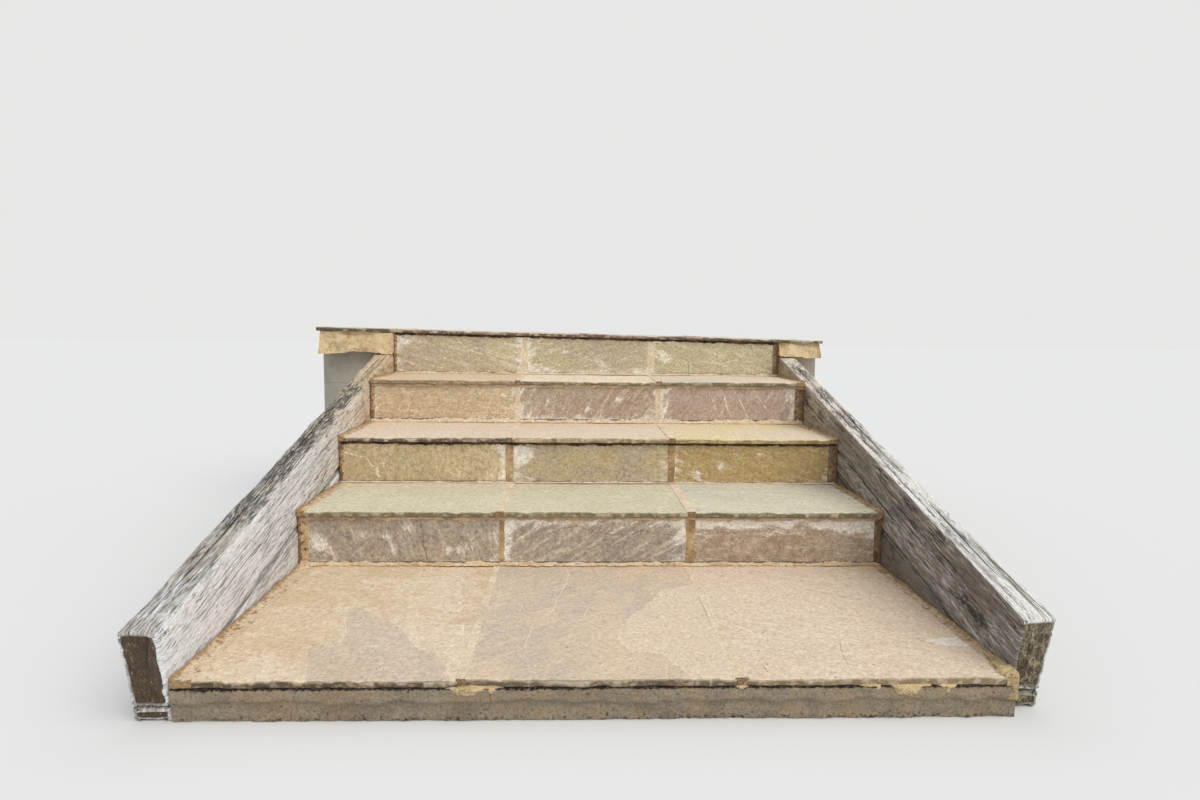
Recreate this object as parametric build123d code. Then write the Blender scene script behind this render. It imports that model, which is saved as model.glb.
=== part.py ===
from build123d import *
import os
from math import atan, cos, pi, radians, sin, tan

# Outdoor stone steps: a landing of three flags, four rises faced with upright slabs, three treads and a
# top row of paving flags, bedded in mortar on stepped concrete, between two raking walls of stacked
# timber sleepers. Millimetres. While it is drawn, X runs across the steps from their middle, Y runs
# into the steps from the front edge of the landing, and Z rises from the ground.

# Across the steps. Each course is laid from the left wall: its gaps are the mortar to the left of each
# slab and then at the right wall, and the last slab of a course is cut to fit what is left.
inner_width = 1905.0                    # between the two timber walls
landing_slab_widths = (587.0, 612.0)
step_slab_widths = (616.0, 600.0)
landing_gaps = (43.0, 16.0, 24.0, 23.0)
riser_gaps = ((31.0, 13.0, 25.0, 20.0), (13.0, 24.0, 21.0, 31.0), (14.0, 18.0, 22.0, 35.0),
              (12.0, 26.0, 27.0, 24.0))
tread_gaps = ((22.0, 21.0, 26.0, 20.0), (16.0, 20.0, 22.0, 31.0), (14.0, 19.0, 22.0, 34.0))
top_slab_widths = (356.0, 898.0, 604.0)
top_joint = 14.0
top_row_beyond_left = 282.5             # the top row runs on beyond the outer face of the walls
top_row_beyond_right = 136.5

# Stone
slab_thickness = 20.0
arris = 3.0                             # worn upper edge
edge_pitch = 7.0                        # a hand pitched edge is cut back this far at its foot
edge_swell = 3.5                        # a pitched edge wanders in and out by this much
edge_swell_length = 230.0               # from one swell of the edge to the next
edge_chips = 1.5                        # smaller bites out of the edge
edge_chip_length = 83.0
edge_points = 9                         # the edge is drawn through this many points
riser_arris = 2.0

# Heights
base_above_ground = 50.0                # concrete under the landing
landing_bed = 30.0
landing_fall = 0.01                     # the landing falls to the front, so that water runs off
rises = (191.0, 177.0, 187.0)
top_rise = 203.0                        # from the third tread to the top row, at the middle
foot_joints = (11.0, 5.0, 15.0, 8.0)    # mortar under the upright slabs of each rise
head_joint = 5.0                        # mortar over them
tread_bed = 24.0
top_bed = 30.0
top_fall = tan(radians(0.9))            # the top row falls to the right

# Depths
first_riser_face = 808.0                # from the front edge of the landing
goings = (449.0, 456.0, 448.0)
nosing = 20.0                           # a tread stands out this far over its riser
riser_backing = 20.0                    # mortar between a riser slab and the concrete behind it
top_slab_depth = 600.0
joint_recess = 3.0                      # joints are struck back from the faces of the slabs
bed_setback = 15.0                      # beds and concrete stand back under the edges they carry

# Timber walls
left_sleeper_thickness = 90.0
right_sleeper_thickness = 82.0
left_overhang = 38.0                    # its front end stands before the landing by this much
right_overhang = 0.0
sleeper_depth = 200.0
sleeper_slope = 0.2406                  # rise over run, 13.5 degrees
sleeper_top_at_front = 138.0            # over the front edge of the landing
sleeper_arris = 6.0
tiers = ("upper", "lower")

# Seasoning checks, the long splits that open in a drying sleeper: how far along the sleeper and down or
# across its face the middle of each one lies, its length and its width
check_depth = 14.0
check_foot_share = 0.2                  # share of its width that a check keeps at its foot
inner_face_checks = ((420.0, 62.0, 520.0, 5.0), (1010.0, 118.0, 700.0, 6.0), (1640.0, 74.0, 560.0, 5.0))
top_face_checks = ((380.0, 46.0, 430.0, 5.0), (1180.0, 58.0, 820.0, 7.0), (1860.0, 40.0, 360.0, 4.0))
outer_face_checks = ((560.0, 88.0, 640.0, 6.0), (1480.0, 126.0, 760.0, 5.0))

# Mortar haunches that carry the top row beyond the steps
haunch_head_depth = 46.0
haunch_foot_depth = 84.0
haunch_foot_edge = 12.0

# Levels and places worked out from the sizes above
sides = {"left": -1, "right": 1}
sleeper_thickness = {"left": left_sleeper_thickness, "right": right_sleeper_thickness}
sleeper_overhang = {"left": left_overhang, "right": right_overhang}
base_top = base_above_ground
landing_top = base_top + landing_bed + slab_thickness
tread_tops = [landing_top + sum(rises[: step + 1]) for step in range(len(rises))]
top_level = tread_tops[-1] + top_rise
riser_faces = [first_riser_face + sum(goings[:step]) for step in range(len(goings) + 1)]
top_riser = len(rises)
backing_rear = slab_thickness + riser_backing
left_wall_face = -inner_width / 2
right_wall_face = inner_width / 2
top_row_left = left_wall_face - left_sleeper_thickness - top_row_beyond_left
top_row_right = right_wall_face + right_sleeper_thickness + top_row_beyond_right
top_front = riser_faces[top_riser] - nosing
rear_edge = top_front + top_slab_depth
top_base_front = riser_faces[top_riser] + backing_rear
sleeper_lean = atan(sleeper_slope)
sleeper_plumb_depth = sleeper_depth / cos(sleeper_lean)
clear_height = 2 * top_level            # any height well over the steps
front_edge = -max(left_overhang, right_overhang)
footprint_middle = ((top_row_left + top_row_right) / 2, (front_edge + rear_edge) / 2)
to_origin = Pos(-footprint_middle[0], -footprint_middle[1], 0)


def across(points, x_from, x_to):
    """A solid with an outline of (Y, Z) points, carried along X."""
    outline = Plane.YZ.offset(x_from) * Polygon(*points, align=None)
    return extrude(outline, amount=x_to - x_from, dir=(1, 0, 0))


def inwards(points, y_from, y_to):
    """A solid with an outline of (X, Z) points, carried along Y."""
    outline = Plane.XZ.offset(-y_from) * Polygon(*points, align=None)
    return extrude(outline, amount=y_to - y_from, dir=(0, 1, 0))


def fused(pieces):
    """One solid out of pieces that share faces."""
    whole = pieces[0]
    for piece in pieces[1:]:
        whole = whole + piece
    return whole


def together(pieces):
    """The solids of one node, in their final place."""
    return Compound([to_origin * piece.solid() for piece in pieces])


def slab_spans(x_from, x_to, gaps, widths):
    """Left and right edge of each slab of a course. The last one is cut to fit."""
    spans = []
    x = x_from
    for gap, width in zip(gaps, widths):
        spans.append((x + gap, x + gap + width))
        x += gap + width
    spans.append((x + gaps[-2], x_to - gaps[-1]))
    return spans


def joint_spans(spans, x_from, x_to):
    """Left and right edge of each mortar joint of a course, with one at each end."""
    starts = [x_from] + [right for left, right in spans]
    ends = [left for left, right in spans] + [x_to]
    return list(zip(starts, ends))


landing_spans = slab_spans(left_wall_face, right_wall_face, landing_gaps, landing_slab_widths)
riser_spans = [slab_spans(left_wall_face, right_wall_face, gaps, step_slab_widths) for gaps in riser_gaps]
tread_spans = [slab_spans(left_wall_face, right_wall_face, gaps, step_slab_widths) for gaps in tread_gaps]
top_gaps = [0.0] + [top_joint] * len(top_slab_widths) + [0.0]
top_spans = slab_spans(top_row_left, top_row_right, top_gaps, top_slab_widths)


# Levels

def landing_level(y):
    """Top of the landing at a distance from its front edge."""
    return landing_top + landing_fall * y


def top_row_level(x):
    """Top of the top row at a place across the steps."""
    return top_level - top_fall * x


def top_row_underside(x):
    """Underside of the top row at a place across the steps."""
    return top_row_level(x) - slab_thickness


def riser_foot(step):
    """Underside of the upright slabs of a rise."""
    if step == 0:
        return landing_level(riser_faces[0]) + foot_joints[0]
    return tread_tops[step - 1] + foot_joints[step]


def sleeper_level(y, tier):
    """Top line of a sleeper, by tier from the upper one."""
    return landing_top + sleeper_top_at_front + sleeper_slope * y - tier * sleeper_plumb_depth


def room_under_top_row():
    """All the room under the top row, which cuts a piece to its fall."""
    return inwards([
        (top_row_left, 0),
        (top_row_right, 0),
        (top_row_right, top_row_underside(top_row_right)),
        (top_row_left, top_row_underside(top_row_left)),
    ], 0, rear_edge)


# Stone slabs

def edge_wander(x, phase):
    """How far a hand pitched edge lies behind its straight line at a place across the steps."""
    swell = edge_swell * (1 + sin(2 * pi * x / edge_swell_length + phase)) / 2
    chips = edge_chips * (1 + sin(2 * pi * x / edge_chip_length + 3 * phase)) / 2
    return swell + chips


def pitched_slab(x_from, x_to, front, rear, level):
    """A laid slab with sawn sides and a front edge that is pitched by hand.

    level gives the height of its top at (x, y). The slab is lofted from three outlines: its foot, the
    foot of its worn arris, and its top. Each front edge is a curve that wanders along the slab.
    """
    sections = []
    for drop, setback, phase in ((slab_thickness, edge_pitch, 0.9), (arris, 0.0, 0.0), (0.0, arris, 0.3)):
        edge = []
        for point in range(edge_points):
            x = x_from + (x_to - x_from) * point / (edge_points - 1)
            y = front + setback + edge_wander(x, phase + front)
            edge.append((x, y, level(x, y) - drop))
        sides = [edge[-1], (x_to, rear, level(x_to, rear) - drop),
                 (x_from, rear, level(x_from, rear) - drop), edge[0]]
        sections.append(make_face(Spline(*edge) + Polyline(*sides)))
    return loft(sections, ruled=True)


def landing_slab(x_from, x_to):
    """A slab of the landing. The first rise stands on its rear edge."""
    return pitched_slab(x_from, x_to, 0, first_riser_face + slab_thickness, lambda x, y: landing_level(y))


def tread_slab(step, x_from, x_to):
    """A tread slab. Its nosing oversails the rise below, and the next rise stands on its rear edge."""
    return pitched_slab(x_from, x_to, riser_faces[step] - nosing, riser_faces[step + 1] + slab_thickness,
                        lambda x, y: tread_tops[step])


def top_slab(x_from, x_to):
    """A flag of the top row, laid to the fall."""
    return pitched_slab(x_from, x_to, top_front, rear_edge, lambda x, y: top_row_level(x))


def riser_blank(step, x_from, x_to):
    """An upright slab before its edges wear. Those of the top rise are cut to the fall of the top row."""
    foot = riser_foot(step)
    if step == top_riser:
        heads = [top_row_underside(x) - head_joint for x in (x_from, x_to)]
    else:
        heads = [tread_tops[step] - slab_thickness - head_joint] * 2
    face = riser_faces[step]
    return inwards([(x_from, foot), (x_to, foot), (x_to, heads[1]), (x_from, heads[0])],
                   face, face + slab_thickness)


def riser_slab(step, x_from, x_to):
    """An upright slab that faces a rise, with a worn arris round its face."""
    blank = riser_blank(step, x_from, x_to)
    return chamfer(blank.faces().sort_by(Axis.Y)[0].edges(), riser_arris)


# Mortar

def landing_mortar():
    """The bed under the landing, with the joints that stand up from it between the slabs."""
    bed_front = bed_setback
    rear = first_riser_face + slab_thickness
    bed = across([
        (bed_front, base_top),
        (rear, base_top),
        (rear, landing_level(rear) - slab_thickness),
        (bed_front, landing_level(bed_front) - slab_thickness),
    ], left_wall_face, right_wall_face)
    riser_front = first_riser_face + joint_recess
    foot_front = edge_pitch + joint_recess
    ribs = [across([
        (foot_front, landing_level(foot_front) - slab_thickness),
        (rear, landing_level(rear) - slab_thickness),
        (rear, landing_level(rear)),
        (riser_front, landing_level(riser_front)),
        (riser_front, landing_level(riser_front) - joint_recess),
        (joint_recess, landing_level(joint_recess) - joint_recess),
    ], x_from, x_to) for x_from, x_to in joint_spans(landing_spans, left_wall_face, right_wall_face)]
    return fused([bed] + ribs)


def riser_mortar(step):
    """The mortar behind, under, over and between the slabs of a rise."""
    face = riser_faces[step] + joint_recess
    slab_rear = riser_faces[step] + slab_thickness
    rear = riser_faces[step] + backing_rear
    if step == 0:
        foot_front, foot_rear, foot_back = landing_level(face), landing_level(slab_rear), base_top
    else:
        foot_front = foot_rear = tread_tops[step - 1]
        foot_back = foot_front - slab_thickness - tread_bed
    head = clear_height if step == top_riser else tread_tops[step] - slab_thickness
    block = across([
        (face, foot_front),
        (slab_rear, foot_rear),
        (slab_rear, foot_back),
        (rear, foot_back),
        (rear, head),
        (face, head),
    ], left_wall_face, right_wall_face)
    if step == top_riser:
        block = block & room_under_top_row()
    for x_from, x_to in riser_spans[step]:
        block = block - riser_blank(step, x_from, x_to)
    return block


def tread_mortar(step):
    """The bed under a tread, with the joints that stand up from it between the slabs."""
    top = tread_tops[step]
    under = top - slab_thickness
    front = riser_faces[step] - nosing
    bed_front = riser_faces[step] + backing_rear
    riser_front = riser_faces[step + 1] + joint_recess
    rear = riser_faces[step + 1] + slab_thickness
    bed = across([
        (bed_front, under - tread_bed),
        (rear, under - tread_bed),
        (rear, under),
        (bed_front, under),
    ], left_wall_face, right_wall_face)
    ribs = [across([
        (front + edge_pitch + joint_recess, under),
        (rear, under),
        (rear, top),
        (riser_front, top),
        (riser_front, top - joint_recess),
        (front + joint_recess, top - joint_recess),
    ], x_from, x_to) for x_from, x_to in joint_spans(tread_spans[step], left_wall_face, right_wall_face)]
    return fused([bed] + ribs)


def top_mortar():
    """The bed under the top row, with the joints that stand up from it between the flags."""
    left = top_row_left + bed_setback
    right = top_row_right - bed_setback
    ends = [(x, top_row_underside(x)) for x in (left, right)]
    bed = inwards([(x, z - top_bed) for x, z in ends] + [(x, z) for x, z in reversed(ends)],
                  top_base_front, rear_edge)
    pieces = [bed]
    rib_height = slab_thickness - joint_recess
    for x_from, x_to in joint_spans(top_spans, top_row_left, top_row_right)[1:-1]:
        levels = [(x, top_row_underside(x)) for x in (x_from, x_to)]
        pieces.append(inwards(levels + [(x, z + rib_height) for x, z in reversed(levels)],
                              top_front + edge_pitch + joint_recess, rear_edge))
    return fused(pieces)


def haunch(x_from, x_to):
    """Mortar under the front of the top row beyond the steps, sloped off onto the sleepers."""
    foot_front = top_base_front - haunch_foot_depth
    block = across([
        (foot_front, sleeper_level(foot_front, 0)),
        (top_base_front, sleeper_level(top_base_front, 0)),
        (top_base_front, clear_height),
        (top_base_front - haunch_head_depth, clear_height),
        (top_base_front - haunch_head_depth, top_row_underside(x_from)),
        (foot_front, sleeper_level(foot_front, 0) + haunch_foot_edge),
    ], x_from, x_to)
    return block & room_under_top_row()


# Concrete

def landing_base():
    """The concrete under the landing."""
    rear = riser_faces[0] + backing_rear
    return across([(bed_setback, 0), (rear, 0), (rear, base_top), (bed_setback, base_top)],
                  left_wall_face, right_wall_face)


def step_base(step):
    """The concrete under one tread, down to the ground."""
    front = riser_faces[step] + backing_rear
    rear = riser_faces[step + 1] + backing_rear
    top = tread_tops[step] - slab_thickness - tread_bed
    return across([(front, 0), (rear, 0), (rear, top), (front, top)], left_wall_face, right_wall_face)


def top_base():
    """The concrete under the top row, as wide as the row and down to the ground."""
    left = top_row_left + bed_setback
    right = top_row_right - bed_setback
    heads = [(x, top_row_underside(x) - top_bed) for x in (right, left)]
    return inwards([(left, 0), (right, 0)] + heads, top_base_front, rear_edge)


def sleeper_footing(wall):
    """The concrete wedge between the ground and the lower sleeper of a wall."""
    inner = sides[wall] * inner_width / 2
    outer = sides[wall] * (inner_width / 2 + sleeper_thickness[wall])
    underside_at_rear = sleeper_level(top_base_front, len(tiers))
    heel = top_base_front - underside_at_rear / sleeper_slope
    return across([(heel, 0), (top_base_front, 0), (top_base_front, underside_at_rear)],
                  min(inner, outer), max(inner, outer))


# Timber

def sleeper_place(wall, tier, along, down, outwards):
    """A point on a sleeper: along its length, down its face, and out from its inner face."""
    drop = tier * sleeper_depth + down
    return (sides[wall] * (inner_width / 2 + outwards),
            along * cos(sleeper_lean) + drop * sin(sleeper_lean),
            landing_top + sleeper_top_at_front + along * sin(sleeper_lean) - drop * cos(sleeper_lean))


def seasoning_check(place, outward, length, width):
    """A split that opens in a face of a sleeper, long and pointed, and narrower at its foot."""
    surface = Plane(origin=place, x_dir=(0, cos(sleeper_lean), sin(sleeper_lean)), z_dir=outward)
    sections = []
    for depth, share in ((0.0, 1.0), (check_depth, check_foot_share)):
        reach = length * (1 + share) / 4
        half = width * share / 2
        outline = Polygon((-reach, 0), (0, -half), (reach, 0), (0, half), align=None)
        sections.append(surface.offset(-depth) * outline)
    return loft(sections, ruled=True)


def sleeper(wall, tier):
    """A raking sleeper, cut square at its front end and plumb where it meets the top base."""
    side = sides[wall]
    thickness = sleeper_thickness[wall]
    along_slope = (0, cos(sleeper_lean), sin(sleeper_lean))
    front_end = -sleeper_overhang[wall] / cos(sleeper_lean)
    centre = sleeper_place(wall, tier, front_end, sleeper_depth / 2, thickness / 2)
    section = chamfer(Rectangle(thickness, sleeper_depth).vertices(), sleeper_arris)
    bar = extrude(Plane(origin=centre, x_dir=(1, 0, 0), z_dir=along_slope) * section, amount=rear_edge)
    for along, down, length, width in outer_face_checks:
        place = sleeper_place(wall, tier, along, down, thickness)
        bar = bar - seasoning_check(place, (side, 0, 0), length, width)
    if tier == 0:
        for along, down, length, width in inner_face_checks:
            place = sleeper_place(wall, tier, along, down, 0)
            bar = bar - seasoning_check(place, (-side, 0, 0), length, width)
        for along, outwards, length, width in top_face_checks:
            place = sleeper_place(wall, tier, along, 0, outwards)
            bar = bar - seasoning_check(place, (0, -sin(sleeper_lean), cos(sleeper_lean)), length, width)
    room = across([(-rear_edge, 0), (top_base_front, 0), (top_base_front, clear_height),
                   (-rear_edge, clear_height)],
                  centre[0] - thickness, centre[0] + thickness)
    return bar & room


# The pieces of the steps, by name
places = ("left", "middle", "right")
steps = {}
for place, (x_from, x_to) in zip(places, landing_spans):
    steps[f"landing_slab_{place}"] = [landing_slab(x_from, x_to)]
for step, spans in enumerate(riser_spans):
    for place, (x_from, x_to) in zip(places, spans):
        steps[f"riser_slab_{step + 1}_{place}"] = [riser_slab(step, x_from, x_to)]
for step, spans in enumerate(tread_spans):
    for place, (x_from, x_to) in zip(places, spans):
        steps[f"tread_slab_{step + 1}_{place}"] = [tread_slab(step, x_from, x_to)]
for number, (x_from, x_to) in enumerate(top_spans, start=1):
    steps[f"top_slab_{number}"] = [top_slab(x_from, x_to)]
steps["landing_mortar"] = [landing_mortar()]
steps["riser_mortar"] = [riser_mortar(step) for step in range(len(riser_faces))]
steps["tread_mortar"] = [tread_mortar(step) for step in range(len(rises))]
steps["top_mortar"] = [top_mortar()]
steps["mortar_haunches"] = [haunch(top_row_left + bed_setback, left_wall_face),
                            haunch(right_wall_face, top_row_right - bed_setback)]
for wall in sides:
    for tier, tier_name in enumerate(tiers):
        steps[f"{wall}_{tier_name}_sleeper"] = [sleeper(wall, tier)]
steps["landing_base"] = [landing_base()]
for step in range(len(rises)):
    steps[f"step_base_{step + 1}"] = [step_base(step)]
steps["top_base"] = [top_base()]
steps["sleeper_footings"] = [sleeper_footing(wall) for wall in sides]

os.makedirs("parts", exist_ok=True)
for name, pieces in steps.items():
    export_step(together(pieces), f"parts/{name}.step")
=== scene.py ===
"""Outdoor stone steps, dressed: riven sandstone, weathered oak sleepers, sandy mortar and concrete."""
from __future__ import annotations

import logging
import math
from dataclasses import dataclass, field
from enum import Enum
from typing import Callable, Iterable, Sequence, Union

import bpy
import numpy as np
from mathutils import Matrix, Vector


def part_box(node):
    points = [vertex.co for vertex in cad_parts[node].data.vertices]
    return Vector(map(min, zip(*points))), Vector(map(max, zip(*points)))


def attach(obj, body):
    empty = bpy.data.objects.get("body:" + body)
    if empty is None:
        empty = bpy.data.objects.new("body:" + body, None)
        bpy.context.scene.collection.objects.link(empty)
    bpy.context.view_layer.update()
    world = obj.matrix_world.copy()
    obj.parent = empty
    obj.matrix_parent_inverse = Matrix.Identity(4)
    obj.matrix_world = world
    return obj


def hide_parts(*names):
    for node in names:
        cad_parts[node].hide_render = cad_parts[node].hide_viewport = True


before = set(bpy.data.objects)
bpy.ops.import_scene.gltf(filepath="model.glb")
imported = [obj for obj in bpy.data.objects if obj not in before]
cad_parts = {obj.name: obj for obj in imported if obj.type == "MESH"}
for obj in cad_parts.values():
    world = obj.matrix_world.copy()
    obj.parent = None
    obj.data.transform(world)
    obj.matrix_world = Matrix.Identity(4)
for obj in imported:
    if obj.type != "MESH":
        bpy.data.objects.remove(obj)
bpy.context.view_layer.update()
BODY = "root"
LOG = logging.getLogger("stone_steps")

Array = np.ndarray
Material = bpy.types.Material
Socket = bpy.types.NodeSocket
Tree = bpy.types.NodeTree
Colour = tuple[float, float, float, float]
Bloom = tuple[float, float, float, float]
Triple = tuple[float, float, float]
Sides = tuple[float, float]
Course = tuple[tuple[float, float], ...]
Place = Callable[[Array], Array]
Spread = Callable[[Array, Array], Array]
Source = Union["Wire", "Tone", Socket, float, Sequence[float]]

MILLIMETRE = 0.001
SLAB_THICKNESS = 0.020
LANDING_FALL = 0.01
TOP_ROW_FALL = math.tan(math.radians(0.9))
SLEEPER_SLOPE = 0.2406
SHARP_ANGLE = math.radians(55.0)
FAR_FROM_LINE = 0.05
BEAD_STEP = 0.004
BEAD_BURIED = 0.004
RISES = (1, 2, 3, 4)
TREADS = (1, 2, 3)
GAP_RISES = (2, 4)
PLACES = ("left", "middle", "right")
TO_FRONT, TO_LEFT, UPWARDS, DOWNWARDS = (0.0, -1.0, 0.0), (-1.0, 0.0, 0.0), (0.0, 0.0, 1.0), (0.0, 0.0, -1.0)
FLOAT, VECTOR, COLOR = "NodeSocketFloat", "NodeSocketVector", "NodeSocketColor"
LOW_BITS = 0xFFFFFFFF

# Middle and half width, in metres, and height, 1 the highest, of the lumps squeezed out under the landing
BED_LUMPS = ((-0.210, 0.075, 0.9), (0.394, 0.020, 0.7), (0.690, 0.030, 0.6), (0.785, 0.055, 1.0),
             (0.868, 0.024, 0.8))


def tone(red: int, green: int, blue: int) -> Colour:
    """A colour as it is seen, 0 to 255 a channel, in the linear values that a shader takes.

    Args:
        red: Red as displayed.
        green: Green as displayed.
        blue: Blue as displayed.

    Returns:
        Linear red, green and blue, with an alpha of 1.
    """
    seen = np.array((red, green, blue)) / 255.0
    linear = np.where(seen <= 0.04045, seen / 12.92, ((seen + 0.055) / 1.055) ** 2.4)
    return (float(linear[0]), float(linear[1]), float(linear[2]), 1.0)


class Tone(Enum):
    """The stone, lime, soil and timber tones that the finishes are mixed from, and a near black for painted
    shadow.
    """

    PALE_BUFF = tone(228, 208, 182)
    PINK_BUFF = tone(224, 201, 178)
    GREY_LILAC = tone(216, 199, 182)
    GREEN_GREY = tone(210, 200, 170)
    COOL_GREY = tone(205, 199, 182)
    PALE_GREEN = tone(217, 208, 182)
    CREAM = tone(240, 228, 202)
    YELLOW_BUFF = tone(228, 209, 164)
    OCHRE = tone(203, 172, 118)
    TAN = tone(214, 189, 156)
    OLIVE_BUFF = tone(196, 178, 142)
    OLIVE = tone(136, 124, 96)
    DARK_OLIVE = tone(104, 94, 72)
    PURPLE_BROWN = tone(176, 152, 136)
    MAUVE = tone(191, 169, 157)
    LIME = tone(246, 240, 228)
    SAND = tone(222, 194, 154)
    PALE_SAND = tone(226, 207, 180)
    YELLOW_SAND = tone(218, 194, 148)
    SOIL = tone(120, 94, 66)
    DARK_SOIL = tone(70, 54, 38)
    RUST = tone(182, 128, 88)
    WARM_BUFF = tone(219, 196, 168)
    LILAC_BUFF = tone(202, 185, 167)
    GREY_BROWN = tone(162, 150, 138)
    BROWN_BUFF = tone(184, 166, 146)
    UMBER_BUFF = tone(170, 147, 124)
    DEEP_OCHRE = tone(184, 157, 108)
    OLIVE_GREY = tone(194, 181, 149)
    PALE_OLIVE = tone(203, 189, 156)
    DUST = tone(204, 180, 148)
    # Near black: painted shadow under the slabs and the nosings, and soil stain on the landing's concrete bed
    SHADOW_AND_SOIL = tone(42, 33, 26)
    EDGE_OLIVE = tone(136, 124, 98)
    EDGE_PURPLE = tone(112, 94, 82)
    EDGE_BUFF = tone(158, 138, 108)
    EDGE_OCHRE = tone(170, 146, 100)
    EDGE_GREY = tone(126, 112, 91)
    EDGE_DARK = tone(108, 95, 76)
    POINTING = tone(227, 205, 174)
    BRIGHT_POINTING = tone(236, 219, 192)
    BED_BROWN = tone(158, 140, 116)
    BED_GREY = tone(148, 136, 118)
    BAND_BROWN = tone(164, 132, 94)
    BAND_STONE = tone(150, 127, 104)
    BAND_PALE = tone(181, 157, 128)
    JOINT_TAN = tone(206, 178, 138)
    DARK_JOINT = tone(136, 110, 78)
    SILVER = tone(238, 238, 240)
    CREAM_OAK = tone(232, 222, 200)
    WARM_SILVER = tone(206, 198, 188)
    GREY_OAK = tone(156, 146, 132)
    UMBER_OAK = tone(132, 122, 112)
    END_BROWN = tone(104, 82, 54)
    END_OLIVE = tone(180, 168, 136)
    PALE_OAK = tone(236, 232, 228)
    OAK_BROWN = tone(140, 122, 100)
    OAK_PINK = tone(216, 190, 154)
    BLUE_BLACK = tone(64, 64, 68)
    CONCRETE = tone(188, 182, 170)
    DARK_CONCRETE = tone(150, 143, 130)


class Way(Enum):
    """How a slab is set."""

    LAID = "laid"
    UPRIGHT = "upright"


class MarkKind(Enum):
    """What a drawn course on a slab stands for."""

    PATCH = "patch"
    CRACK = "crack"
    VEIN = "vein"
    SMEAR = "smear"


@dataclass(frozen=True)
class Mark:
    """A mark on a slab. Its course is in shares of the slab's width and length from the lower left corner.

    width is the width of a line, or the radius of a smear, in metres. strength is how white a smear is.
    """

    kind: MarkKind
    course: Course
    width: float = 0.0
    strength: float = 0.0


@dataclass(frozen=True)
class Stone:
    """The finish of one slab. bloom gives the lime at its left, right, head and foot."""

    ground: Tone
    second: Tone
    streak: Tone
    streak_share: float
    bearing: float
    patch_tone: Tone = Tone.COOL_GREY
    edge_tone: Tone = Tone.OLIVE
    scratches: float = 0.25
    bloom: Bloom = (0.0, 0.0, 0.0, 0.0)
    marks: tuple[Mark, ...] = ()


# Noise, worked out as whole arrays


def lattice(cell: Array, seed: int) -> Array:
    """Random numbers at whole-number points: the three coordinates and the seed, mixed by primes and shifts.

    Args:
        cell: Whole-number points, three coordinates on the last axis.
        seed: Which set of numbers.

    Returns:
        Numbers from -1 to 1.
    """
    mixed = (cell[..., 0] * 374761393 + cell[..., 1] * 668265263 + cell[..., 2] * 1442695041
             + seed * 974711).astype(np.int64) & LOW_BITS
    mixed = ((mixed ^ (mixed >> 13)) * 1274126177) & LOW_BITS
    mixed = ((mixed ^ (mixed >> 15)) * 2246822519) & LOW_BITS
    return (mixed ^ (mixed >> 16)) / float(LOW_BITS >> 1) - 1.0


def value_noise(points: Array, seed: int) -> Array:
    """Value noise: the eight numbers round a point's cell, mixed by 3t^2 - 2t^3 along each axis.

    Args:
        points: Points with three coordinates on the last axis, one cell to the unit.
        seed: Which noise.

    Returns:
        Noise from -1 to 1.
    """
    cell = np.floor(points).astype(np.int64)
    share = points - cell
    share = share * share * (3 - 2 * share)
    total = np.zeros(points.shape[:-1])
    for corner in np.ndindex(2, 2, 2):
        step = np.array(corner)
        weight = np.prod(np.where(step == 1, share, 1 - share), axis=-1)
        total += weight * lattice(cell + step, seed)
    return total


def fractal(points: Array, size: float | Sequence[float], seed: int, octaves: int) -> Array:
    """Fractal noise: value noises added, each twice as fine and half as strong as the last.

    Args:
        points: Points in metres, three coordinates on the last axis.
        size: Size of the largest features, in metres, the same each way or one for each axis.
        seed: Which noise.
        octaves: How many noises are added.

    Returns:
        Noise from about -1 to 1.
    """
    scaled = points / np.asarray(size, dtype=float)
    total = np.zeros(points.shape[:-1])
    strengths = 0.5 ** np.arange(octaves)
    for octave, strength in enumerate(strengths):
        total += strength * value_noise(scaled * 2.0 ** octave + 7.3 * octave, seed + octave)
    return total / strengths.sum() * 1.6


def smooth(value: Array, low: float, high: float) -> Array:
    """A smooth step: 0 below low, 1 above high, and 3t^2 - 2t^3 between."""
    share = np.clip((value - low) / (high - low), 0.0, 1.0)
    return share * share * (3 - 2 * share)


def rows_of(*columns: Array | float) -> Array:
    """Arrays and numbers side by side on a last axis."""
    return np.stack(np.broadcast_arrays(*columns), axis=-1).astype(float)


# Drawn courses


def course_distance(spots: Array, course: Array) -> Array:
    """Distance to an open course of straight runs, positive on its left, with the nearest run's side.

    Args:
        spots: Points in the plane of the slab, in metres.
        course: The course's points, in metres.

    Returns:
        Signed distances in metres.
    """
    nearest = np.full(spots.shape[:-1], np.inf)
    signed = np.zeros(spots.shape[:-1])
    for start, end in zip(course[:-1], course[1:]):
        run = end - start
        share = np.clip(((spots - start) @ run) / (run @ run), 0.0, 1.0)
        gap = spots - (start + share[..., None] * run)
        distance = np.hypot(gap[..., 0], gap[..., 1])
        side = np.where(run[0] * gap[..., 1] - run[1] * gap[..., 0] >= 0, 1.0, -1.0)
        closer = distance < nearest
        nearest = np.where(closer, distance, nearest)
        signed = np.where(closer, side * distance, signed)
    return signed


def inside_outline(spots: Array, outline: Array) -> Array:
    """Whether points lie inside a closed outline, by how often a ray along +X crosses it.

    Args:
        spots: Points in the plane.
        outline: The outline's points.

    Returns:
        True inside.
    """
    crossings = np.zeros(spots.shape[:-1], dtype=int)
    for start, end in zip(outline, np.roll(outline, -1, axis=0)):
        between = (start[1] > spots[..., 1]) != (end[1] > spots[..., 1])
        rise = end[1] - start[1] if end[1] != start[1] else 1e-12
        crossing = start[0] + (spots[..., 1] - start[1]) / rise * (end[0] - start[0])
        crossings += between & (spots[..., 0] < crossing)
    return crossings % 2 == 1


# Meshes


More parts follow.
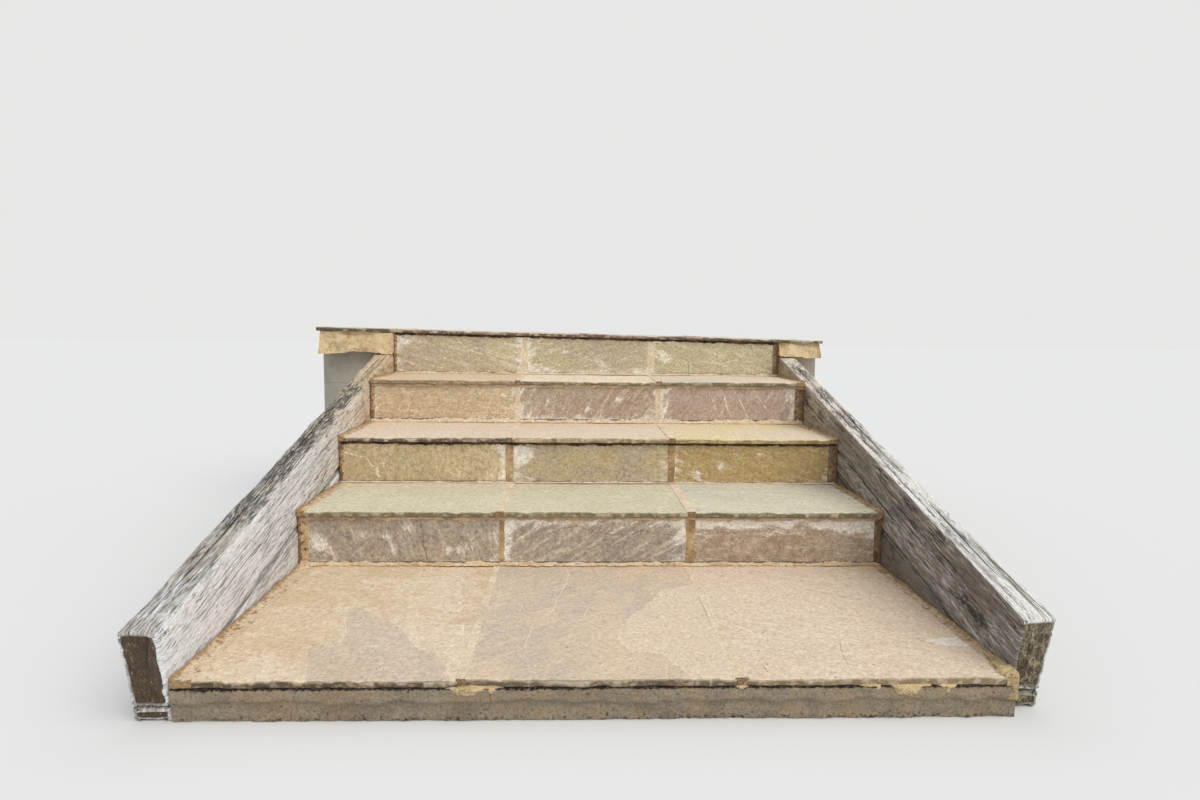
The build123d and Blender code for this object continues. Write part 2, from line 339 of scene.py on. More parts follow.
@dataclass
class Shell:
    """A closed surface: points, four-sided faces, many-sided caps, and values carried by the points."""

    points: Array
    quads: Array
    caps: list[Array] = field(default_factory=list)
    values: dict[str, Array] = field(default_factory=dict)


def joined(shells: Sequence[Shell]) -> Shell:
    """Several shells as one, each kept whole.

    Args:
        shells: Shells that carry the same values.

    Returns:
        One shell.
    """
    offsets = np.cumsum([0] + [len(shell.points) for shell in shells[:-1]])
    return Shell(
        np.concatenate([shell.points for shell in shells]),
        np.concatenate([shell.quads + offset for shell, offset in zip(shells, offsets)]),
        [cap + offset for shell, offset in zip(shells, offsets) for cap in shell.caps],
        {name: np.concatenate([shell.values[name] for shell in shells]) for name in shells[0].values},
    )


def turned_out(shell: Shell) -> Shell:
    """Turns a shell's faces to point outwards: the volume under its faces comes out positive.

    Args:
        shell: A closed shell whose faces agree with each other.

    Returns:
        The same shell.
    """
    a, b, c, d = (shell.points[shell.quads[:, corner]] for corner in range(4))
    volume = np.einsum("ij,ij->", a, np.cross(b, c)) + np.einsum("ij,ij->", a, np.cross(c, d))
    for cap in shell.caps:
        ring = shell.points[cap]
        volume += np.einsum("ij,ij->", np.broadcast_to(ring[0], ring[1:-1].shape),
                            np.cross(ring[1:-1], ring[2:]))
    if volume < 0:
        shell.quads = shell.quads[:, ::-1]
        shell.caps = [cap[::-1] for cap in shell.caps]
    return shell


def make_piece(name: str, shell: Shell, material: Material, slot: str, *nodes: str) -> None:
    """Puts a shell into the scene as one piece that rides on the body.

    Args:
        name: Name of the piece.
        shell: Its surface, in place.
        material: Its material.
        slot: The material slot of the record that it stands for. Not used.
        *nodes: The nodes that it replaces.
    """
    mesh = bpy.data.meshes.new(name)
    mesh.from_pydata(shell.points.tolist(), [], shell.quads.tolist() + [cap.tolist() for cap in shell.caps])
    for value_name, values in shell.values.items():
        kind, key = ("FLOAT_VECTOR", "vector") if values.ndim == 2 else ("FLOAT", "value")
        attribute = mesh.attributes.new(value_name, kind, "POINT")
        attribute.data.foreach_set(key, np.ascontiguousarray(values, dtype=np.float32).ravel())
    mesh.validate()
    mesh.shade_smooth()
    mesh.set_sharp_from_angle(angle=SHARP_ANGLE)
    mesh.materials.append(material)
    piece = bpy.data.objects.new(name, mesh)
    bpy.context.scene.collection.objects.link(piece)
    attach(piece, BODY)
    if nodes:
        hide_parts(*nodes)
    LOG.info("%s: %d points, %d faces", name, len(shell.points), len(mesh.polygons))


def redress(node: str, material: Material) -> None:
    """Gives a node of the CAD model that stays its material."""
    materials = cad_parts[node].data.materials
    materials.clear()
    materials.append(material)


def side_lines(length: float, step: float, arris_lines: Sequence[float]) -> Array:
    """Grid lines along a side: close together in the arris at both ends, and even between.

    Args:
        length: Length of the side, in metres.
        step: Distance between the even lines.
        arris_lines: Distances of the close lines from each end.

    Returns:
        Distances from the start of the side.
    """
    close = np.array(arris_lines)
    count = max(2, round((length - 2 * close[-1]) / step))
    even = np.linspace(close[-1], length - close[-1], count + 1)
    return np.concatenate([close[:-1], even, length - close[:-1][::-1]])


def grid_quads(rows: int, columns: int) -> Array:
    """Faces of a grid of points, stored row by row, turned to face along rows x columns."""
    index = np.arange(rows * columns).reshape(rows, columns)
    return np.stack([index[:-1, :-1], index[1:, :-1], index[1:, 1:], index[:-1, 1:]], axis=-1).reshape(-1, 4)


def grid_border(rows: int, columns: int) -> Array:
    """Points round the border of a grid, anticlockwise from its first corner."""
    index = np.arange(rows * columns).reshape(rows, columns)
    return np.concatenate([index[:-1, 0], index[-1, :-1], index[:0:-1, -1], index[0, :0:-1]])


def border_outward(rows: int, columns: int) -> Array:
    """Direction out of the grid at each point of its border, in the grid's plane."""
    return np.concatenate([
        np.tile((0.0, -1.0), (rows - 1, 1)), np.tile((1.0, 0.0), (columns - 1, 1)),
        np.tile((0.0, 1.0), (rows - 1, 1)), np.tile((-1.0, 0.0), (columns - 1, 1))])


def ring_quads(ring_size: int, rings: int, first: int = 0) -> Array:
    """Faces between closed rings of points that follow each other, the first point having number first."""
    index = first + np.arange(ring_size * rings).reshape(rings, ring_size)
    after = np.roll(index, -1, axis=1)
    return np.stack([index[:-1], index[1:], after[1:], after[:-1]], axis=-1).reshape(-1, 4)


def tube(rings: Array) -> Shell:
    """A closed shell of rings of points, one ring to a row, with a cap on the first and on the last."""
    count, size = rings.shape[:2]
    ring = np.arange(size)
    caps = [ring, (count - 1) * size + ring[::-1]]
    return turned_out(Shell(rings.reshape(-1, 3), ring_quads(size, count), caps))


@dataclass
class Plate:
    """A plate with a worked face, edges that go down in rings, and a flat back.

    The face is a grid of points (across, along, lift), where lift is 0 or less. Each ring of the edge is
    the border of the face set back by an inset and lowered to a depth. Its skirt value tells the shader
    how dark the edge is there: its own edge tone and painted shade. It also places a painted highlight along
    the arris and a painted shadow line along the foot.
    """

    across: Array
    along: Array
    lift: Array
    ring_depths: Array
    ring_insets: Array
    place: Place
    ring_skirts: Array | None = None
    face_skirts: Array | None = None

    def shell(self, face_values: dict[str, Array]) -> Shell:
        """The closed surface.

        Args:
            face_values: Values at the points of the face, carried down the edge as they are at the border.

        Returns:
            The shell, in place. With skirts, it carries them and its place on the flat plate too.
        """
        rows, columns = self.across.shape
        face = rows_of(self.across, self.along, self.lift).reshape(-1, 3)
        loop = grid_border(rows, columns)
        outward = border_outward(rows, columns)
        rings = [face]
        for depth, inset in zip(self.ring_depths, self.ring_insets):
            ring = face[loop].copy()
            ring[:, :2] -= outward * inset[:, None]
            ring[:, 2] = -depth
            rings.append(ring)
        flat = np.concatenate(rings)
        count, size = rows * columns, len(loop)
        first_ring = np.stack([loop, count + np.arange(size), count + np.roll(np.arange(size), -1),
                               np.roll(loop, -1)], axis=-1)
        quads = np.concatenate([grid_quads(rows, columns), first_ring,
                                ring_quads(size, len(self.ring_depths), count)])
        back = np.arange(len(flat) - size, len(flat))[::-1]
        values = {}
        for name, value in face_values.items():
            rows_of_value = value.reshape(count, *value.shape[2:])
            values[name] = np.concatenate([rows_of_value] + [rows_of_value[loop]] * len(self.ring_depths))
        if self.ring_skirts is not None:
            lip = np.zeros(count) if self.face_skirts is None else self.face_skirts.ravel()
            values.update(skirt=np.concatenate([lip, self.ring_skirts.ravel()]), lie=flat)
        return Shell(self.place(flat), quads, [back], values)


# Shaders


class Graph:
    """A shader node tree that is being wired. Inputs take a wire, a socket, a tone or a plain value."""

    def __init__(self, tree: Tree) -> None:
        """Starts from an empty tree."""
        self.tree = tree
        tree.nodes.clear()

    def node(self, kind: str, **settings: object) -> bpy.types.Node:
        """Adds a node of a kind and sets its options."""
        made = self.tree.nodes.new(kind)
        for name, value in settings.items():
            setattr(made, name, value)
        return made

    def feed(self, socket: Socket, source: Source) -> None:
        """Links a socket to its source, or sets its value."""
        if isinstance(source, Wire):
            source = source.socket
        if isinstance(source, Socket):
            self.tree.links.new(source, socket)
        else:
            socket.default_value = source.value if isinstance(source, Tone) else source

    def fed_node(self, kind: str, sources: Iterable[tuple[int | str, Source]], output: int = 0,
                 **settings: object) -> Wire:
        """Adds a node, feeds its inputs and gives one of its outputs.

        Args:
            kind: Type of the node.
            sources: Number or name of each input that is fed, and its source.
            output: Number of the output.
            **settings: Options of the node.

        Returns:
            The output.
        """
        made = self.node(kind, **settings)
        for key, source in sources:
            self.feed(made.inputs[key], source)
        return Wire(self, made.outputs[output])

    def math(self, kind: str, first: Source, second: Source = 0.0) -> Wire:
        """A Math node of one or two sources: kind is ADD, MAXIMUM, SINE, FRACT and so on."""
        return self.fed_node("ShaderNodeMath", ((0, first), (1, second)), operation=kind)

    def noise(self, place: Wire, size: float, detail: float = 4.0, roughness: float = 0.55,
              distortion: float = 0.0, stretch: Sequence[float] = ()) -> Wire:
        """Noise from 0 to 1 at a place.

        Args:
            place: Where it is read.
            size: About the size of its largest features, in metres.
            detail: How many times it is made finer.
            roughness: Strength of each finer noise.
            distortion: How far the place wanders.
            stretch: A factor on each axis of the place.

        Returns:
            The noise.
        """
        if stretch:
            place = self.fed_node("ShaderNodeVectorMath", ((0, place), (1, stretch)), operation="MULTIPLY")
        return self.fed_node("ShaderNodeTexNoise", (
            ("Vector", place), ("Scale", 1.0 / size), ("Detail", detail), ("Roughness", roughness),
            ("Distortion", distortion)))

    def parts(self, vector: Wire) -> tuple[Wire, ...]:
        """The three parts of a vector."""
        made = self.node("ShaderNodeSeparateXYZ")
        self.feed(made.inputs[0], vector)
        return tuple(Wire(self, output) for output in made.outputs)

    def drawn_line(self, mark: Wire, wander: Wire, swell: Source = 1.0) -> Wire:
        """Mask of a line drawn on a piece: 1 on it, and 0 from its width on.

        Args:
            mark: Signed distance to the line, 1 near it and 0 elsewhere, and its width, in a vector.
            wander: Added to the distance.
            swell: Factor on the width.

        Returns:
            The mask.
        """
        distance, near, width = self.parts(mark)
        return (1.0 - abs(distance + wander).span(0.0, width * swell)) * near

    def close_group(self, colour: Wire, value: Wire, roughness: Wire, height: Wire) -> Tree:
        """Ends a group with its three outputs.

        Args:
            colour: The colour before it is shaded.
            value: Lightness that multiplies the colour.
            roughness: The roughness.
            height: Height of the relief, in millimetres.

        Returns:
            The group's tree.
        """
        shaded = self.fed_node("ShaderNodeHueSaturation", (("Value", value), ("Color", colour)))
        out = self.node("NodeGroupOutput")
        for name, source in (("Color", shaded), ("Roughness", roughness), ("Height", height)):
            self.feed(out.inputs[name], source)
        return self.tree


@dataclass(frozen=True)
class Wire:
    """What a shader node puts out. A sum, difference or product of wires is a Math node."""

    graph: Graph
    socket: Socket

    def __add__(self, other: Source) -> Wire:
        """The sum."""
        return self.graph.math("ADD", self, other)

    def __mul__(self, other: Source) -> Wire:
        """The product."""
        return self.graph.math("MULTIPLY", self, other)

    def __sub__(self, other: Source) -> Wire:
        """The difference."""
        return self.graph.math("SUBTRACT", self, other)

    def __rsub__(self, other: Source) -> Wire:
        """What this takes from another source."""
        return self.graph.math("SUBTRACT", other, self)

    def __abs__(self) -> Wire:
        """The distance from 0."""
        return self.graph.math("ABSOLUTE", self)

    __radd__ = __add__
    __rmul__ = __mul__

    def about(self, amount: float) -> Wire:
        """A noise taken from its middle of 0.5, times an amount."""
        return (self - 0.5) * amount

    def span(self, low: Source, high: Source, start: float = 0.0, end: float = 1.0) -> Wire:
        """A smooth step from start at low to end at high."""
        return self.graph.fed_node("ShaderNodeMapRange", enumerate((self, low, high, start, end)),
                                   interpolation_type="SMOOTHSTEP")

    def coat(self, tone: Source, share: Source) -> Wire:
        """This colour under a coat of another, by its share."""
        return self.graph.fed_node("ShaderNodeMix", ((0, share), (6, self), (7, tone)), 2, data_type="RGBA")


def new_group(name: str, inputs: dict[str, tuple[str, ...]]) -> tuple[Graph, list[Wire]]:
    """Starts a shader node group that puts out a colour, a roughness and a height in millimetres.

    Args:
        name: Name of the group.
        inputs: Names of the inputs by socket type. The place comes first.

    Returns:
        The graph, and its inputs in the same order.
    """
    tree = bpy.data.node_groups.new(name, "ShaderNodeTree")
    graph = Graph(tree)
    names = [(socket_name, kind) for kind, group in inputs.items() for socket_name in group]
    for socket_name, kind in names:
        tree.interface.new_socket(socket_name, in_out="INPUT", socket_type=kind)
    for socket_name, kind in (("Color", COLOR), ("Roughness", FLOAT), ("Height", FLOAT)):
        tree.interface.new_socket(socket_name, in_out="OUTPUT", socket_type=kind)
    entry = graph.node("NodeGroupInput")
    return graph, [Wire(graph, entry.outputs[socket_name]) for socket_name, kind in names]


def sandstone_group() -> Tree:
    """Riven sandstone: two clouded tones, drawn out streaks, laminae, and the marks that the slab carries."""
    graph, given = new_group("riven_sandstone", {
        VECTOR: ("Place", "Crack", "Vein"),
        COLOR: ("Ground", "Second", "Streak", "Patch Tone", "Edge Tone"),
        FLOAT: ("Streak Share", "Scratches", "Lamina", "Patch", "Bloom", "Rim", "Skirt")})
    place, crack, vein, ground, second, streak, patch_tone, edge = given[:8]
    streak_share, scratches, lamina, patch_depth, bloom, rim, skirt = given[8:]
    broad = graph.noise(place, 0.34, 5.0, 0.6, 0.4)
    cloud = graph.noise(place, 0.075, 6.0, 0.62)
    mottle = graph.noise(place, 0.022, 6.0, 0.66, 0.3)
    drawn = graph.noise(place, 0.16, 7.0, 0.68, 0.25, (1.0, 7.0, 1.0))
    hair = graph.noise(place, 0.055, 7.0, 0.72, 0.0, (1.0, 12.0, 1.0))
    grit = graph.noise(place, 0.0045, 4.0, 0.7)
    speckle = graph.noise(place, 0.0105, 3.0, 0.75)

    colour = ground.coat(second, (0.5 * broad + 0.25 * cloud + 0.25 * mottle).span(0.43, 0.58))
    colour = colour.coat(streak, drawn.span(0.48, 0.64) * streak_share)
    colour = colour.coat(edge, hair.span(0.52, 0.68) * (0.55 * scratches))
    colour = colour.coat(edge, mottle.span(0.38, 0.5, 1.0, 0.0) * (0.2 * scratches))

    # The patch where another lamina lies open, and the pale line round it
    outline = patch_depth + mottle.about(0.014)
    opened = patch_tone.coat(colour, 0.3 * mottle.span(0.45, 0.62))
    colour = colour.coat(opened, 0.7 * outline.span(-0.0012, 0.0012))
    pale_line = abs(outline).span(0.0004, 0.002, 1.0, 0.0)
    colour = colour.coat(Tone.CREAM, pale_line * cloud.span(0.4, 0.56, 0.15, 0.6))

    # Scarps at the laminae, and scratches
    step = graph.math("FRACT", lamina)
    scarp = step.span(0.0, 0.03) * step.span(0.05, 0.09, 1.0, 0.0) * drawn.span(0.5, 0.62)
    colour = colour.coat(Tone.CREAM, 0.3 * scarp)
    squiggle = graph.noise(place, 0.085, 3.0, 0.55, 0.8, (1.0, 2.6, 1.0))
    scratch = abs(squiggle - 0.5).span(0.0, 0.011, 1.0, 0.0) * cloud.span(0.5, 0.6)
    colour = colour.coat(Tone.CREAM, scratch * scratches)

    # Brown flecks, pits and rust
    colour = colour.coat(Tone.OAK_BROWN, 0.4 * graph.noise(place, 0.009, 3.0, 0.75).span(0.63, 0.71))
    pits = graph.noise(place, 0.008, 2.0, 0.5).span(0.64, 0.69) * cloud.span(0.48, 0.6, 0.15, 0.8)
    colour = colour.coat(Tone.OLIVE, pits)
    colour = colour.coat(Tone.RUST, 0.2 * graph.noise(place, 0.12, 5.0, 0.7).span(0.6, 0.78))

    # Veins and cracks drawn on the slab
    wander = mottle.about(0.008)
    vein_mask = graph.drawn_line(vein, wander, cloud.span(0.35, 0.65, 0.4, 1.5))
    crack_mask = graph.drawn_line(crack, wander)
    colour = colour.coat(Tone.CREAM, vein_mask * mottle.span(0.4, 0.6, 0.45, 0.95))
    colour = colour.coat(Tone.DARK_OLIVE, crack_mask * cloud.span(0.4, 0.58, 0.25, 0.8))

    # Lime bloom, and its strokes
    chalk = graph.noise(place, 0.04, 8.0, 0.72).about(1.5) + drawn.about(1.6)
    colour = colour.coat(Tone.LIME, 0.76 * ((bloom + chalk).span(0.4, 0.95) * bloom.span(0.0, 0.3)))
    stroke = graph.noise(place, 0.026, 4.0, 0.6, 0.6, (1.0, 3.2, 1.0)).span(0.57, 0.64)
    colour = colour.coat(Tone.LIME, 0.6 * (stroke * bloom.span(0.1, 0.6)))

    # The pale arris, which is a painted highlight; the dark pitched edge, its own tone with painted shade lower
    # down and in the flake hollows; a painted shadow line along its foot; and the worn rim
    edge_and_shade = skirt + mottle.about(0.9)
    colour = colour.coat(Tone.CREAM, 0.4 * (skirt.span(0.0, 0.08) * skirt.span(0.08, 0.3, 1.0, 0.0)))
    edge_tone = edge.coat(Tone.DARK_SOIL, 0.35 * speckle.span(0.45, 0.6))
    edge_tone = edge_tone.coat(ground, mottle.span(0.48, 0.62, 0.0, 0.45))
    colour = colour.coat(edge_tone, edge_and_shade.span(-0.05, 0.5) * skirt.span(0.0, 0.1))
    # Painted shadow: a near black line where the skirt passes 1, along the foot of the edge
    colour = colour.coat(Tone.SHADOW_AND_SOIL, 0.9 * edge_and_shade.span(1.0, 1.3))
    worn = rim.span(0.0, 0.0055, 1.0, 0.0) * mottle.span(0.35, 0.58) * skirt.span(0.0, 0.2, 1.0, 0.0)
    colour = colour.coat(Tone.LIME, worn * bloom.span(0.05, 0.6, 0.3, 0.85))

    crisp = 1.4 * scratches + 0.75
    value = (grit.about(0.8) + speckle.about(0.9) + mottle.about(0.3)) * crisp + 1.0
    height = (1.3 * cloud + 0.8 * mottle + 0.6 * grit + 1.0 * drawn + 0.5 * hair
              + 0.6 * (vein_mask - crack_mask) + 3.0 * (skirt * graph.noise(place, 0.014, 5.0, 0.6)))
    return graph.close_group(colour, value, cloud.span(0.3, 0.7, 0.78, 0.93), height)


def mortar_group() -> Tree:
    """Sandy mortar: coarse sand in lime, stains and painted shade, and small voids."""
    graph, (place, sand, lime, stain, stain_share, stain_and_shade) = new_group("sandy_mortar", {
        VECTOR: ("Place",), COLOR: ("Sand", "Lime", "Stain"), FLOAT: ("Stain Share", "Stain_And_Shade")})
    cloud = graph.noise(place, 0.06, 6.0, 0.65)
    lumps = graph.noise(place, 0.010, 5.0, 0.65)
    grit = graph.noise(place, 0.0026, 3.0, 0.7)
    sugar = graph.noise(place, 0.0065, 2.0, 0.8)
    voids = lumps.span(0.3, 0.4, 1.0, 0.0)
    colour = sand.coat(lime, cloud.span(0.4, 0.62))
    colour = colour.coat(stain, graph.noise(place, 0.09, 6.0, 0.7).span(0.44, 0.66) * stain_share)
    # Darkened by the stain tone where the mesh's value says: stain, and painted shade beside the timber, at the
    # joints' front ends and under the landing's slab
    colour = colour.coat(stain, (stain_and_shade + lumps.about(3.0)).span(0.15, 1.0) * stain_and_shade.span(0.0, 0.15))
    colour = colour.coat(stain, 0.45 * voids)
    value = grit.about(0.9) + sugar.about(1.1) + 1.0
    height = 2.6 * lumps + 1.1 * grit + 1.2 * sugar - 0.8 * voids
    return graph.close_group(colour, value, lumps.span(0.3, 0.7, 0.86, 0.97), height)


def oak_group() -> Tree:
    """Weathered oak: silvered fibres along the grain, brown bands, dark stains, checks and end grain."""
    graph, given = new_group("weathered_oak", {
        VECTOR: ("Grain", "Check"), COLOR: ("Silver", "Brown", "Dark", "End Tone"),
        FLOAT: ("Dark Share", "Fleck Share", "Tan Share", "Weather", "Blotch_And_Shade", "Knot", "End", "Ring")})
    grain, check, silver, brown, dark, end_wood = given[:6]
    dark_share, fleck_share, tan_share, weather, blotch_and_shade_share, knot, end, ring = given[6:]
    fibre = graph.noise(grain, 0.0036, 5.0, 0.68, 0.0, (0.09, 1.0, 1.0))
    band = graph.noise(grain, 0.017, 5.0, 0.62, 0.0, (0.08, 1.0, 1.0))
    wave = graph.noise(grain, 0.0095, 5.0, 0.66, 0.6, (0.18, 1.0, 1.0))
    cloud = graph.noise(grain, 0.10, 5.0, 0.6, 0.0, (0.4, 1.0, 1.0))
    fleck = graph.noise(grain, 0.0044, 5.0, 0.72, 0.0, (0.08, 1.0, 1.0))
    stain = graph.noise(grain, 0.030, 7.0, 0.74, 0.0, (0.2, 1.0, 1.0))
    frayed = graph.noise(grain, 0.0030, 3.0, 0.8, 0.0, (0.25, 1.0, 1.0))

    silvered = weather + band.about(0.8) + cloud.about(0.7) + wave.about(1.2)
    colour = brown.coat(silver, silvered.span(0.1, 0.8))
    distance = graph.parts(grain)[0] + cloud.about(1.2)
    colour = colour.coat(Tone.OAK_PINK, distance.span(0.6, 2.2) * tan_share)
    colour = colour.coat(brown, 0.35 * fibre.span(0.5, 0.64))
    darkened = stain.span(0.5, 0.6) * dark_share
    colour = colour.coat(dark, darkened * wave.span(0.4, 0.55, 0.5, 1.0))

    # Blotches, the flecks that they thicken, and the pale fibres; some blotches are painted shade
    blotch_and_shade = (blotch_and_shade_share + stain.about(1.5)).span(0.25, 0.8)
    colour = colour.coat(Tone.CREAM_OAK, 0.3 * blotch_and_shade)
    reach = 0.105 * blotch_and_shade + cloud.about(0.16) + stain.about(0.12) + weather * -0.035
    flecks = (fleck + reach).span(0.525, 0.605)
    colour = colour.coat(dark.coat(Tone.BLUE_BLACK, blotch_and_shade),
                         flecks * graph.math("MAXIMUM", fleck_share, 0.92 * blotch_and_shade))
    pale = fibre.span(0.34, 0.45, 1.0, 0.0) * weather.span(0.1, 1.0)
    colour = colour.coat(silver, 0.3 * pale)
    knot_rings = graph.math("SINE", 900.0 * knot)
    colour = colour.coat(dark, knot.span(0.010, 0.036, 1.0, 0.0) * knot_rings.span(-0.6, 0.8, 0.3, 0.8))

    # The sawn ends
    torn = graph.noise(grain, 0.0055, 6.0, 0.74, 0.6, (1.0, 1.0, 0.4))
    rot = graph.noise(grain, 0.040, 5.0, 0.6)
    end_tone = end_wood.coat(Tone.DARK_SOIL, torn.span(0.38, 0.62, 1.0, 0.0))
    end_tone = end_tone.coat(Tone.DARK_SOIL, 0.7 * rot.span(0.45, 0.6))
    end_tone = end_tone.coat(Tone.OAK_PINK, 0.5 * torn.span(0.56, 0.68))
    ring_wave = graph.math("SINE", 1050.0 * (ring + 0.02 * rot))
    end_tone = end_tone.coat(Tone.DARK_SOIL, ring_wave.span(0.3, 0.95, 0.0, 0.22))
    colour = colour.coat(end_tone, 0.95 * end)

    # Checks are dark; the seam lines between upper and lower sleepers come through here too, as painted shade
    split = graph.drawn_line(check, band.about(0.004))
    colour = colour.coat(Tone.DARK_SOIL, 0.93 * split)
    height = (1.4 * fibre + 1.6 * band + 1.6 * wave - 1.0 * flecks + 4.0 * (end * torn) - 2.5 * split
              + 0.35 * (end * ring_wave))
    return graph.close_group(colour, frayed.about(1.3) + 1.0, band.span(0.3, 0.7, 0.72, 0.9), height)


def concrete_group() -> Tree:
    """Concrete cast against boards: faint board lines, pores, and weather stains."""
    graph, (place, pale, dark, board_height) = new_group("board_marked_concrete", {
        VECTOR: ("Place",), COLOR: ("Pale", "Dark"), FLOAT: ("Board Height",)})
    cloud = graph.noise(place, 0.28, 6.0, 0.62)
    run = graph.noise(place, 0.30, 6.0, 0.6, 0.0, (5.0, 5.0, 0.6))
    grain = graph.noise(place, 0.006, 5.0, 0.6, 0.0, (0.08, 0.08, 1.0))
    pores = graph.noise(place, 0.006, 2.0, 0.5).span(0.25, 0.31, 1.0, 0.0)
    grit = graph.noise(place, 0.002, 3.0, 0.7)
    board = graph.math("FRACT", graph.math("DIVIDE", graph.parts(place)[2], board_height))
    seam = board.span(0.0, 0.02, 1.0, 0.0) + board.span(0.98, 1.0)
    colour = pale.coat(dark, cloud.span(0.3, 0.78)).coat(dark, 0.35 * run.span(0.5, 0.75))
    colour = colour.coat(Tone.OLIVE, 0.4 * (pores + seam))
    height = 0.9 * grain + 0.3 * grit - 1.2 * (pores + 0.6 * seam)
    return graph.close_group(colour, grit.about(0.35) + 1.0, cloud.span(0.3, 0.7, 0.8, 0.93), height)


def fed_by(finish: object, *sockets: str) -> dict[str, Source]:
    """The fields of a finish by the sockets that they feed, such as Streak Share for streak_share."""
    return {socket: getattr(finish, socket.lower().replace(" ", "_")) for socket in sockets}


def dressed_material(name: str, group: Tree, values: dict[str, Source], attributes: Sequence[str],
                     bearing: float = 0.0, from_attribute: str = "", bump: float = 0.7) -> Material:
    """A material with one effect group wired to the shader.

    Args:
        name: Name of the material.
        group: The effect's node group.
        values: Inputs of the group that are the same all over.
        attributes: Inputs of the group that come from the mesh's attribute of that name in small letters.
        bearing: Degrees that the pattern is turned on the piece.
        from_attribute: The attribute that gives the pattern's place. Without one, Object coordinates do.
        bump: Strength of the bump.

    Returns:
        The material.
    """
    material = bpy.data.materials.new(name)
    material.use_nodes = True
    graph = Graph(material.node_tree)
    effect = graph.node("ShaderNodeGroup", node_tree=group)
    if from_attribute:
        place = graph.node("ShaderNodeAttribute", attribute_name=from_attribute).outputs["Vector"]
    else:
        place = graph.node("ShaderNodeTexCoord").outputs["Object"]
    turn = (0.0, 0.0, math.radians(bearing))
    graph.feed(effect.inputs[0], graph.fed_node("ShaderNodeMapping", (("Vector", place), ("Rotation", turn))))
    for socket_name, value in values.items():
        graph.feed(effect.inputs[socket_name], value)
    for socket_name in attributes:
        source = graph.node("ShaderNodeAttribute", attribute_name=socket_name.lower())
        is_vector = effect.inputs[socket_name].type == "VECTOR"
        graph.feed(effect.inputs[socket_name], source.outputs["Vector" if is_vector else "Fac"])
    relief = graph.fed_node("ShaderNodeBump", (
        ("Strength", bump), ("Distance", MILLIMETRE), ("Height", effect.outputs["Height"])))
    shader = graph.node("ShaderNodeBsdfPrincipled")
    for socket_name, source in (("Base Color", effect.outputs["Color"]), ("Normal", relief),
                                ("Roughness", effect.outputs["Roughness"]), ("Specular IOR Level", 0.25)):
        graph.feed(shader.inputs[socket_name], source)
    graph.feed(graph.node("ShaderNodeOutputMaterial").inputs["Surface"], shader.outputs[0])
    return material


# Stone slabs


